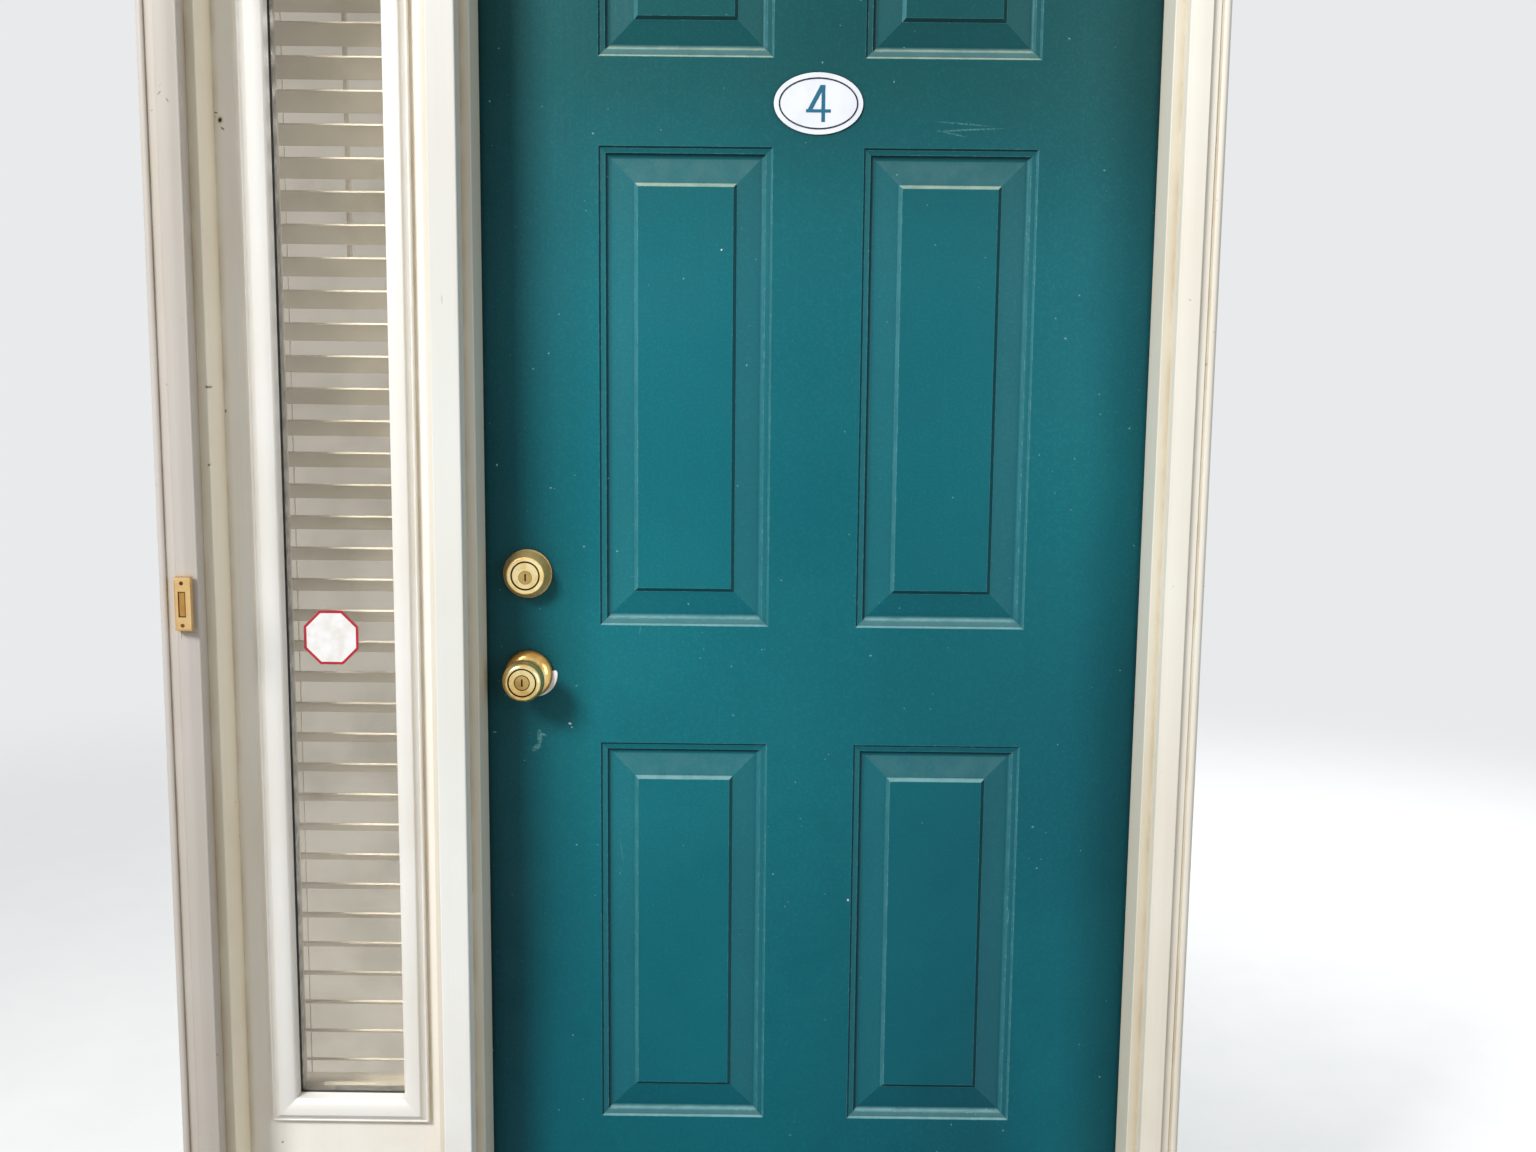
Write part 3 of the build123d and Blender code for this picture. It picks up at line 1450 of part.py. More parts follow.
def build():
    hollows = panel_hollows()
    sill_base, sill_deck, sill_cap = sill()
    sill_pieces = [sill_base, sill_deck, sill_cap]
    head = head_jamb()
    mould_left, mould_right, mould_head = brickmoulds(sill_pieces)
    strike_plate, deadbolt_strike = strike_plates()
    second_pane = pane_front + PANE_THICKNESS + PANE_SPACE
    outer_hub = RING_THICKNESS + CHASSIS_SETBACK
    lock_screws = faceplate_screws(knob_z) + faceplate_screws(deadbolt_z)
    return {
        "hinge_jamb": hinge_jamb(sill_pieces, head),
        "strike_jamb": strike_jamb(sill_pieces, head),
        "mull_jamb": leg(-jamb_back_x, -1, sill_pieces, head) - bolt_pockets(0),
        "sidelight_jamb": leg(light_back_x, 1, sill_pieces, head),
        "head_jamb": head - kerf_head(),
        "sill_base": sill_base,
        "sill_deck": sill_deck,
        "sill_cap": sill_cap,
        "brickmould_left": mould_left - bell_screws(RUNNING_CLEARANCE),
        "brickmould_right": mould_right,
        "brickmould_head": mould_head,
        "mull_casing": mull_casing(sill_pieces),
        "weatherstrip": weatherstrip(),
        "strike_plate": strike_plate,
        "deadbolt_strike": deadbolt_strike,
        "hinge_frame_leaves": hinge_leaves(True),
        "hinge_pins": hinge_pins(),
        "frame_screws": joined(screw(p) for p in hinge_jamb_screws() + strike_screws()),
        "sidelight_slab": sidelight_slab(),
        "lite_frame_outer": lite_frame(light_front, False),
        "lite_frame_inner": lite_frame(light_rear, True),
        "glass_panes": joined([pane(pane_front), pane(second_pane)]),
        "glass_spacer": glass_spacer(),
        "glass_sticker": glass_sticker(),
        "blind_headrail": blind_headrail(),
        "blind_brackets": blind_brackets(),
        "blind_slats": blind_slats(),
        "blind_bottom_rail": blind_bottom_rail(),
        "blind_wand": blind_wand(),
        "doorbell_body": doorbell_body(),
        "doorbell_screws": joined(bell_screws(0)),
        "doorbell_button": doorbell_button(),
        "door_skin_outer": door_skin(hollows, False),
        "door_skin_inner": door_skin(hollows, True),
        "door_core": door_core(hollows),
        "lock_stile": lock_stile(),
        "hinge_stile": hinge_stile(),
        "top_rail": leaf_rail(leaf_top - RAIL_HEIGHT, leaf_top),
        "bottom_rail": bottom_rail(),
        "door_sweep": door_sweep(),
        "hinge_door_leaves": hinge_leaves(False),
        "leaf_screws": joined(screw(p) for p in hinge_leaf_screws() + lock_screws),
        "number_plate": number_plate(),
        "deadbolt_collar": deadbolt_collar(),
        "deadbolt_faceplate": deadbolt_faceplate(),
        "deadbolt_inner_plate": deadbolt_inner_plate(),
        "deadbolt_screws": joined(fixing_screws(0)),
        "knob_rose_outer": rose(outer_rose_y, outer_hub, True),
        "knob_rose_inner": rose(leaf_back, CHASSIS_SETBACK, False),
        "backing_ring": backing_ring(),
        "latch_faceplate": latch_faceplate(),
        "lock_chassis": lock_chassis(),
        "deadbolt_bolt": deadbolt_bolt(),
        "deadbolt_thumb_turn": thumb_turn(),
        "deadbolt_plug": plug(plug_z, leaf_front, COLLAR_REACH - 0.6, PLUG_LENGTH),
        "latch_bolt": latch_bolt(),
        "outer_knob": knob(outer_rose_y, outer_hub, True),
        "inner_knob": knob(leaf_back, CHASSIS_SETBACK, False),
        "knob_plug": plug(
            knob_z, outer_rose_y, KNOB_REACH - 0.6, PLUG_LENGTH - 0.6 - MOVING_CLEARANCE
        ),
        "turn_button": turn_button(),
    }


os.makedirs("parts", exist_ok=True)
for name, shape in build().items():
    export_step(shape, f"parts/{name}.step")
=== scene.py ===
import math

import bmesh
import bpy
from mathutils import Matrix, Vector


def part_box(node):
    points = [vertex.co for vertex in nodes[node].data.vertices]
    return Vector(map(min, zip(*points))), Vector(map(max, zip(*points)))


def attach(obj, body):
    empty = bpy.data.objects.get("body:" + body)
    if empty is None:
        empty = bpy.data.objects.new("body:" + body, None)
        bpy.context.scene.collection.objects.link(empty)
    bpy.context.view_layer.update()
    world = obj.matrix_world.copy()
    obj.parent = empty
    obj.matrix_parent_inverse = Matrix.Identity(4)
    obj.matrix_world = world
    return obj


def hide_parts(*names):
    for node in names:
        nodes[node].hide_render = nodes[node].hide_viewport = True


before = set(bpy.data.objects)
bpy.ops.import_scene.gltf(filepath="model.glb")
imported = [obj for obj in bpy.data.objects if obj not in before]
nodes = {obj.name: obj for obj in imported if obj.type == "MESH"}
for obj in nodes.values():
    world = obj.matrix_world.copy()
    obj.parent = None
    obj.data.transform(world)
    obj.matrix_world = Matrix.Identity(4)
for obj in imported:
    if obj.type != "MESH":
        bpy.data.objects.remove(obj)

scene = bpy.context.scene
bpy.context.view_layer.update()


# Places on the part, in metres

def middle(name):
    """The middle of a piece's box."""
    low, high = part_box(name)
    return [(a + b) / 2 for a, b in zip(low, high)]


knob_x, _, knob_z = middle("knob_rose_outer")
bolt_x, _, bolt_z = middle("deadbolt_collar")
sticker_x, _, sticker_z = middle("glass_sticker")
plate_x, _, plate_z = middle("number_plate")
plate_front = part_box("number_plate")[0][1]
leaf_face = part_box("door_skin_outer")[0][1]
slab_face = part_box("sidelight_slab")[0][1]

# The depths over which a face's marks fade out, so that they stay off what lies behind it. The jambs' front
# edges lie at depth 0.
LEAF_DEPTHS = (leaf_face + 0.01455, leaf_face + 0.02055)
JAMB_DEPTHS = (0.010, 0.020)
SLAB_DEPTHS = (slab_face + 0.00805, slab_face + 0.01805)
CASING_DEPTHS = (-0.004, 0.004)

# The camera, with its angles in degrees
EYE = (-0.0545, -2.09155, 1.3929)
PAN = 0.165
TILT = 82.085
ROLL = 0.596
LENS = 37.5
SENSOR_WIDTH = 36.0

# The lamps: name, place, target, size, power in watts and colour
LAMPS = (
    ("key", (-3.0, -3.35, 3.9), (-0.1, 0.05, 1.15), (1.5, 1.3), 282.0, (1.0, 0.99, 0.97)),
    ("fill", (3.0, -3.4, 1.6), (0.0, 0.05, 1.0), (2.0, 2.4), 40.0, (0.96, 0.98, 1.0)),
    ("rear", (2.8, 3.4, 3.2), (0.0, 0.1, 1.05), (2.0, 1.6), 215.0, (1.0, 1.0, 1.0)),
)
SKY_COLOUR = (0.97, 0.985, 1.0, 1.0)
SKY_STRENGTH = 0.30

# The floor, just below the sill, and the distances over which it fades into the backdrop
FLOOR_RADIUS = 60.0
FLOOR_DROP = 0.0005
FLOOR_NEAR = 1.6
FLOOR_FAR = 5.0

# A surface's lean, read from its normal: steel counts as flat up to the first, and as sloped from the second
FLAT = 0.03
SLOPED = 0.075

# The plastic ring: its section as radius and height, its angles in degrees, and its rounded ends
ring_x = knob_x + 0.0084
RING_OUTER = 0.0313
RING_SECTION = (
    (0.0213, 0.0), (0.0213, 0.0013), (0.0290, 0.0013), (0.0296, 0.00155), (0.0307, 0.00155),
    (0.0312, 0.0012), (RING_OUTER, 0.0006), (RING_OUTER, 0.0),
)
RING_FIRST = 11.0
RING_SWEEP = 202.0
RING_STEPS = 72
RING_ROUNDED_STEPS = 3.0
RING_TRIM = 0.0016


# Node trees

class Net:
    """Adds nodes to one node tree and joins them."""

    def __init__(self, tree):
        self.tree = tree
        self.coords = None

    def add(self, kind, inputs=None, **settings):
        node = self.tree.nodes.new(kind)
        for name, value in settings.items():
            setattr(node, name, value)
        for key, value in (inputs or {}).items():
            self.feed(node.inputs[key], value)
        return node

    def feed(self, socket, value):
        if isinstance(value, bpy.types.NodeSocket):
            self.tree.links.new(value, socket)
        else:
            socket.default_value = value

    def coat(self, shader, colour, roughness=None, normal=None):
        """Feeds a Principled shader, leaving alone what isn't given."""
        self.feed(shader.inputs["Base Color"], colour)
        if roughness is not None:
            self.feed(shader.inputs["Roughness"], roughness)
        if normal is not None:
            self.feed(shader.inputs["Normal"], normal)

    def place(self):
        """The point on the object, in the part's own frame, in metres."""
        if self.coords is None:
            self.coords = self.add("ShaderNodeTexCoord").outputs["Object"]
        return self.coords

    def axes(self):
        split = self.add("ShaderNodeSeparateXYZ", {0: self.place()})
        return split.outputs[0], split.outputs[1], split.outputs[2]

    def math(self, operation, a, b=0.0, clamp=False):
        node = self.add("ShaderNodeMath", {0: a, 1: b}, operation=operation, use_clamp=clamp)
        return node.outputs[0]

    def times(self, a, b):
        return self.math("MULTIPLY", a, b)

    def away(self, value, centre):
        """How far a value lies from a centre, to either side."""
        return self.math("ABSOLUTE", self.math("SUBTRACT", value, centre))

    def length(self, a, b):
        """The length of a line from its two parts at right angles."""
        return self.math("SQRT", self.math("ADD", self.times(a, a), self.times(b, b)))

    def from_axis(self, centre_x, centre_z):
        """The distance from an axis that runs from front to back."""
        x, _, z = self.axes()
        return self.length(self.math("SUBTRACT", x, centre_x), self.math("SUBTRACT", z, centre_z))

    def ramp(self, value, low, high, start=0.0, end=1.0):
        """A smooth step from start to end as value goes from low to high."""
        inputs = {0: value, 1: low, 2: high, 3: start, 4: end}
        node = self.add("ShaderNodeMapRange", inputs, interpolation_type="SMOOTHSTEP")
        return node.outputs[0]

    def noise(self, scale, detail=2.0, stretch=(1.0, 1.0, 1.0), roughness=0.5, shift=0.0):
        inputs = {0: self.place(), "Scale": stretch, "Location": (shift, shift, shift)}
        spread = self.add("ShaderNodeMapping", inputs)
        inputs = {"Vector": spread.outputs[0], "Scale": scale, "Detail": detail, "Roughness": roughness}
        return self.add("ShaderNodeTexNoise", inputs).outputs[0]

    def blend(self, factor, a, b):
        """The first colour where factor is 0, and the second where it is 1."""
        node = self.add("ShaderNodeMix", {0: factor, 6: a, 7: b}, data_type="RGBA")
        return node.outputs[2]

    def shade(self, colour, factor, tone):
        """Multiplies a colour by a tone where factor is 1."""
        inputs = {0: factor, 6: colour, 7: (*tone, 1.0)}
        node = self.add("ShaderNodeMix", inputs, data_type="RGBA", blend_type="MULTIPLY")
        return node.outputs[2]

    def bump(self, height, strength, distance, normal=None):
        inputs = {"Height": height, "Strength": strength, "Distance": distance}
        if normal is not None:
            inputs["Normal"] = normal
        return self.add("ShaderNodeBump", inputs).outputs[0]

    def mark(self, x, z, length, width, turn=0.0, soft=0.6):
        """A mark on a face seen from the front: 1 inside its oval, 0 outside it."""
        px, _, pz = self.axes()
        flat = self.add("ShaderNodeCombineXYZ", {0: px, 1: 0.0, 2: pz}).outputs[0]
        inputs = {
            0: flat, "Location": (x, 0.0, z), "Rotation": (0.0, math.radians(turn), 0.0),
            "Scale": (length / 2, 1.0, width / 2),
        }
        spread = self.add("ShaderNodeMapping", inputs, vector_type="TEXTURE")
        reach = self.add("ShaderNodeVectorMath", {0: spread.outputs[0]}, operation="LENGTH")
        return self.ramp(reach.outputs["Value"], 1.0 - soft, 1.0, 1.0, 0.0)

    def marks(self, colour, spots, depths, torn=False):
        """Lays marks on the face that lies in front of the given depths."""
        _, depth, _ = self.axes()
        whole, gone = depths
        shown = self.ramp(depth, gone, whole)
        if torn:
            shown = self.times(shown, self.ramp(self.noise(420.0, 3.0, shift=13.0), 0.40, 0.56))
        for x, z, length, width, turn, strength, tone in spots:
            oval = self.times(self.mark(x, z, length, width, turn), strength)
            colour = self.blend(self.times(oval, shown), colour, tone)
        return colour

    def rounded(self, radius):
        """The surface's normal with its edges rounded."""
        return self.add("ShaderNodeBevel", {0: radius}, samples=2).outputs[0]

    def edges(self, radius):
        """Close to 1 on sharp outer and inner edges, and 0 on flat faces."""
        face = self.add("ShaderNodeNewGeometry").outputs["Normal"]
        inputs = {0: self.rounded(radius), 1: face}
        dot = self.add("ShaderNodeVectorMath", inputs, operation="DOT_PRODUCT")
        return self.ramp(dot.outputs["Value"], 0.995, 0.90)

    def crevice(self, distance):
        """1 deep in corners and grooves, 0 in the open."""
        node = self.add("ShaderNodeAmbientOcclusion", {"Distance": distance}, samples=2)
        return self.ramp(node.outputs["AO"], 0.9, 0.35)

    def facing(self):
        """The way that the surface faces, in the part's own frame."""
        normal = self.add("ShaderNodeNewGeometry").outputs["Normal"]
        own = self.add("ShaderNodeVectorTransform", {0: normal}, vector_type="NORMAL",
                       convert_from="WORLD", convert_to="OBJECT").outputs[0]
        split = self.add("ShaderNodeSeparateXYZ", {0: own})
        return split.outputs[0], split.outputs[1], split.outputs[2]


def rgb(red, green, blue):
    """A colour written as sRGB, 0 to 255, as Blender's linear values."""
    linear = []
    for value in (red, green, blue):
        value /= 255
        low = value <= 0.04045
        linear.append(value / 12.92 if low else ((value + 0.055) / 1.055) ** 2.4)
    return (*linear, 1.0)


def new_material(name, roughness=0.5, metallic=0.0, specular=0.5):
    material = bpy.data.materials.new(name)
    material.use_nodes = True
    shader = material.node_tree.nodes["Principled BSDF"]
    shader.inputs["Roughness"].default_value = roughness
    shader.inputs["Metallic"].default_value = metallic
    shader.inputs["Specular IOR Level"].default_value = specular
    return material, Net(material.node_tree), shader


# Camera, light and floor

BACKDROP = rgb(232, 234, 236)


def add_camera():
    """A camera at the photograph's place: eye height, just left of the door's middle."""
    data = bpy.data.cameras.new("camera")
    data.lens = LENS
    data.sensor_width = SENSOR_WIDTH
    data.sensor_fit = "HORIZONTAL"
    camera = bpy.data.objects.new("camera", data)
    scene.collection.objects.link(camera)
    pan = Matrix.Rotation(math.radians(PAN), 4, "Z")
    tilt = Matrix.Rotation(math.radians(TILT), 4, "X")
    roll = Matrix.Rotation(math.radians(ROLL), 4, "Z")
    camera.matrix_world = Matrix.Translation(EYE) @ pan @ tilt @ roll
    scene.camera = camera


def add_lamp(name, place, target, size, power, colour):
    """A rectangular lamp that faces its target and isn't seen itself."""
    data = bpy.data.lights.new(name, "AREA")
    data.shape = "RECTANGLE"
    data.size, data.size_y = size
    data.energy = power
    data.color = colour
    lamp = bpy.data.objects.new(name, data)
    scene.collection.objects.link(lamp)
    lamp.location = place
    aim = Vector(target) - Vector(place)
    lamp.rotation_euler = aim.to_track_quat("-Z", "Y").to_euler()
    lamp.visible_camera = False


def seen_directly(net):
    """1 for rays from the camera, in reflections and through glass."""
    rays = net.add("ShaderNodeLightPath").outputs
    seen = net.math("MAXIMUM", rays["Is Camera Ray"], rays["Is Glossy Ray"])
    return net.math("MAXIMUM", seen, rays["Is Transmission Ray"])


def put_out(net, factor, first, second):
    """Sends a mix of two shaders to the tree's output."""
    mixed = net.add("ShaderNodeMixShader", {0: factor})
    net.feed(mixed.inputs[1], first.outputs[0])
    net.feed(mixed.inputs[2], second.outputs[0])
    output = next(n for n in net.tree.nodes if n.type.startswith("OUTPUT_"))
    net.feed(output.inputs[0], mixed.outputs[0])


def add_world():
    """A soft sky for light, seen as the pale backdrop."""
    world = bpy.data.worlds.new("studio")
    world.use_nodes = True
    scene.world = world
    net = Net(world.node_tree)
    light = net.add("ShaderNodeBackground", {"Color": SKY_COLOUR, "Strength": SKY_STRENGTH})
    pale = net.add("ShaderNodeBackground", {"Color": BACKDROP, "Strength": 1.0})
    put_out(net, seen_directly(net), light, pale)


def add_floor():
    """A pale floor that fades into the backdrop, and is darker in the light that it sends back."""
    mesh = bpy.data.meshes.new("floor")
    shape = bmesh.new()
    bmesh.ops.create_circle(shape, cap_ends=True, radius=FLOOR_RADIUS, segments=96)
    shape.to_mesh(mesh)
    shape.free()
    floor = bpy.data.objects.new("floor", mesh)
    floor.location.z = -FLOOR_DROP
    scene.collection.objects.link(floor)
    material, net, shader = new_material("floor", 0.9)
    shown = net.blend(net.noise(6.0, 3.0), rgb(226, 228, 229), rgb(234, 235, 236))
    direct = seen_directly(net)
    net.coat(shader, net.blend(direct, rgb(122, 122, 120), shown))
    pale = net.add("ShaderNodeEmission", {"Color": BACKDROP, "Strength": 1.0})
    x, y, _ = net.axes()
    far = net.ramp(net.length(x, y), FLOOR_NEAR, FLOOR_FAR)
    put_out(net, net.times(far, direct), shader, pale)
    mesh.materials.append(material)


# Marks of use: x, z, length, width, turn in degrees, strength and colour

SCRAPE = rgb(112, 164, 164)
CHIP = rgb(226, 230, 224)
LEAF_SCRAPES = (
    (-0.3745, 0.8640, 0.0260, 0.0090, 88.0, 0.80, SCRAPE),
    (-0.3790, 0.8490, 0.0190, 0.0090, -38.0, 0.75, SCRAPE),
    (-0.3690, 0.8670, 0.0120, 0.0050, 20.0, 0.60, SCRAPE),
    (0.1980, 1.6865, 0.1100, 0.0030, -3.0, 0.50, SCRAPE),
    (0.1760, 1.6810, 0.0500, 0.0024, 12.0, 0.45, SCRAPE),
    (0.1900, 1.6940, 0.0900, 0.0030, 4.0, 0.35, SCRAPE),
)
LEAF_SPOTS = (
    (-0.3325, 0.8832, 0.0058, 0.0034, 20.0, 0.95, CHIP),
    (-0.3300, 0.8780, 0.0026, 0.0018, 60.0, 0.80, CHIP),
    (-0.3960, 0.8300, 0.0026, 0.0022, 0.0, 0.60, SCRAPE),
    (-0.4469, 0.4062, 0.0050, 0.0040, 0.0, 0.90, rgb(214, 214, 204)),
    (-0.4289, 1.2398, 0.0024, 0.0040, 0.0, 0.70, CHIP),
    (-0.1270, 1.5287, 0.0026, 0.0036, 30.0, 0.95, CHIP),
    (0.0563, 0.6341, 0.0034, 0.0044, -10.0, 0.95, CHIP),
    (0.1580, 0.7467, 0.0040, 0.0014, 15.0, 0.70, SCRAPE),
    (-0.2355, 1.0155, 0.0018, 0.0160, 6.0, 0.35, SCRAPE),
    (-0.1530, 0.9773, 0.0040, 0.0030, 20.0, 0.45, SCRAPE),
    (0.2826, 0.6120, 0.0020, 0.0300, 2.0, 0.35, SCRAPE),
    (-0.2800, 1.0450, 0.0016, 0.0600, 4.0, 0.22, rgb(60, 140, 146)),
    (-0.2620, 0.7000, 0.0016, 0.0450, -8.0, 0.25, SCRAPE),
)
JAMB_SPOTS = (
    (-0.7926, 1.3423, 0.0060, 0.0044, 20.0, 0.85, rgb(80, 66, 50)),
    (-0.7938, 1.2408, 0.0050, 0.0040, -30.0, 0.80, rgb(90, 76, 56)),
    (-0.4993, 1.5050, 0.0016, 0.0120, 4.0, 0.60, rgb(128, 112, 88)),
)
# The first two are an old screw hole, and the next three the scratches round it
SLAB_SPOTS = (
    (-0.7842, 1.6883, 0.0130, 0.0160, 0.0, 0.65, rgb(224, 212, 184)),
    (-0.7842, 1.6883, 0.0070, 0.0092, 12.0, 1.00, rgb(20, 14, 10)),
    (-0.7898, 1.6975, 0.0080, 0.0030, 8.0, 0.80, rgb(110, 94, 70)),
    (-0.7905, 1.6925, 0.0040, 0.0016, 0.0, 0.65, rgb(140, 122, 94)),
    (-0.7813, 1.6775, 0.0080, 0.0028, 40.0, 0.90, rgb(70, 56, 40)),
    (-0.7468, 0.2682, 0.0044, 0.0038, 0.0, 0.85, rgb(112, 98, 80)),
    (-0.7906, 1.3090, 0.0040, 0.0060, 0.0, 0.75, rgb(96, 80, 60)),
)
# The fourth and fifth are the dirt below the doorbell
CASING_SPOTS = (
    (-0.8276, 1.7077, 0.0090, 0.0022, -50.0, 0.75, rgb(120, 108, 92)),
    (-0.8182, 1.6993, 0.0080, 0.0018, 62.0, 0.80, rgb(96, 84, 70)),
    (-0.8262, 1.7170, 0.0060, 0.0014, -64.0, 0.50, rgb(150, 136, 116)),
    (-0.8270, 1.0215, 0.0016, 0.0180, 3.0, 0.70, rgb(124, 88, 58)),
    (-0.8150, 1.0235, 0.0200, 0.0030, 4.0, 0.45, rgb(150, 118, 84)),
    (-0.4784, 1.4566, 0.0016, 0.0160, -4.0, 0.50, rgb(150, 136, 112)),
    (0.4714, 1.4657, 0.0050, 0.0020, 30.0, 0.60, rgb(150, 136, 112)),
)


# The door's paint

def rolled_teal(net, mottle, strokes, stipple):
    """The paint itself, uneven from the roller and the brush."""
    cloud = net.noise(1.1, 3.0)
    colour = net.blend(net.ramp(cloud, 0.3, 0.7), rgb(8, 98, 109), rgb(22, 114, 124))
    colour = net.shade(colour, net.ramp(mottle, 0.45, 0.75, 0.0, 0.45), (0.84, 0.87, 0.88))
    colour = net.shade(colour, net.ramp(strokes, 0.55, 0.8, 0.0, 0.35), (1.16, 1.12, 1.10))
    return net.shade(colour, net.ramp(stipple, 0.48, 0.68, 0.0, 0.8), (1.36, 1.19, 1.17))


def painted_light_zones(net, colour):
    """Painted light and shade over the face: lightest up on the left, with painted shade darkest at the top
    under the head and low down.
    """
    x, _, z = net.axes()
    upper_left = net.times(net.ramp(x, 0.02, -0.20), net.ramp(z, 0.85, 1.35))
    lock_stile = net.times(net.ramp(x, -0.27, -0.37), net.ramp(z, 1.75, 1.52))
    lock_stile = net.times(lock_stile, net.ramp(z, 0.20, 0.65))
    upper_right = net.times(net.ramp(x, 0.12, 0.42), net.ramp(z, 1.15, 1.50))
    lower_right = net.times(net.ramp(x, -0.15, 0.35), net.ramp(z, 1.35, 0.90))
    kept = net.math("MAXIMUM", net.ramp(z, 0.30, 0.80), net.ramp(x, 0.34, 0.24))
    # Painted light and shade: each zone's place and the tone that it multiplies by
    zones = (
        (net.ramp(z, 1.15, 1.45), (1.70, 1.0, 1.0)),
        (upper_left, (1.27, 1.17, 1.16)),
        (lock_stile, (0.80, 0.71, 0.71)),
        (upper_right, (1.75, 1.06, 1.05)),
        (net.times(lower_right, kept), (0.50, 0.68, 0.72)),
        (net.ramp(z, 1.42, 1.82), (0.75, 0.56, 0.50)),
        (net.ramp(z, 0.95, 0.45), (0.40, 0.84, 0.88)),
    )
    for factor, tone in zones:
        colour = net.shade(colour, factor, tone)
    return colour


def painted_slope_light(net, colour, across, up, patch):
    """The panels' slopes with painted light and shade: painted shade where they face down, a little paler to
    the sides, a painted highlight palest facing up.
    """
    _, y, _ = net.axes()
    # Painted shade on the slopes that face down
    painted_shade_below = net.times(net.ramp(up, -FLAT, -SLOPED), 0.8)
    colour = net.shade(colour, painted_shade_below, (0.50, 0.84, 0.86))
    right = net.times(net.ramp(across, FLAT, SLOPED), 0.12)
    colour = net.blend(right, colour, rgb(84, 124, 130))
    left = net.times(net.ramp(across, -FLAT, -SLOPED), 0.07)
    colour = net.blend(left, colour, rgb(92, 160, 170))
    # Painted highlight on the slopes that face up, stronger near the front face
    band = net.ramp(y, leaf_face + 0.00395, leaf_face + 0.00355, 0.0, 0.18)
    light = net.math("ADD", band, net.ramp(patch, 0.3, 0.7, 0.10, 0.17))
    painted_highlight_above = net.times(net.ramp(up, FLAT, SLOPED), light)
    return net.blend(painted_highlight_above, colour, rgb(134, 168, 168))


def steep_sides(net, colour, across, up, patch, dust):
    """The steps round the panels: painted shade facing down or right, painted light facing left, dust and a
    painted highlight facing up.
    """
    _, _, z = net.axes()
    # Painted shade where the steps face right or down
    painted_shade = net.math("MAXIMUM", net.ramp(across, 0.15, 0.60), net.ramp(up, -0.15, -0.60))
    colour = net.shade(colour, painted_shade, (0.26, 0.55, 0.57))
    # Painted light where the steps face left
    painted_side_light = net.times(net.ramp(across, -0.12, -0.60), net.ramp(patch, 0.3, 0.7, 0.22, 0.42))
    colour = net.blend(painted_side_light, colour, rgb(92, 160, 170))
    # Painted highlight on the steps that face up
    film = net.times(net.ramp(up, 0.08, 0.35), net.ramp(patch, 0.3, 0.7, 0.16, 0.34))
    colour = net.blend(film, colour, rgb(134, 168, 166))
    # The colour of the dust and painted highlight where the steps face up, paler higher up
    pale = net.blend(net.ramp(z, 1.0, 1.6), rgb(138, 186, 190), rgb(190, 202, 180))
    return net.blend(dust, colour, pale), painted_shade


def grooves_and_ridges(net, colour, painted_shade):
    """Dirt and painted shade in the grooves, painted shade near the frame, a painted highlight along the
    ridges, paint worn off on some ridges, and pale flecks.
    """
    soil = net.ramp(net.noise(22.0, 3.0, shift=7.0), 0.3, 0.7, 0.55, 1.0)
    # Dirt and painted shade in the grooves
    colour = net.shade(colour, net.times(net.crevice(0.007), soil), (0.16, 0.30, 0.32))
    # Painted shade near the frame, where the deep jamb and casing shade the door
    colour = net.shade(colour, net.crevice(0.09), (0.12, 0.36, 0.38))
    # Painted highlight along the ridges, kept off the steps in painted shade
    ridge = net.times(net.edges(0.0018), net.math("SUBTRACT", 1.0, net.crevice(0.004)))
    ridge = net.times(ridge, net.math("SUBTRACT", 1.0, net.times(painted_shade, 0.85)))
    ridge_highlight = net.ramp(net.noise(30.0, 4.0, shift=17.0), 0.30, 0.65, 0.45, 0.75)
    colour = net.blend(net.times(ridge, ridge_highlight), colour, rgb(74, 142, 150))
    fleck = net.ramp(net.noise(150.0, 1.0, shift=11.0), 0.80, 0.82)
    colour = net.blend(net.times(fleck, 0.55), colour, rgb(150, 186, 184))
    worn = net.times(ridge, net.ramp(net.noise(120.0, 3.0, shift=5.0), 0.56, 0.62))
    return net.blend(net.times(worn, 0.35), colour, rgb(150, 194, 194))


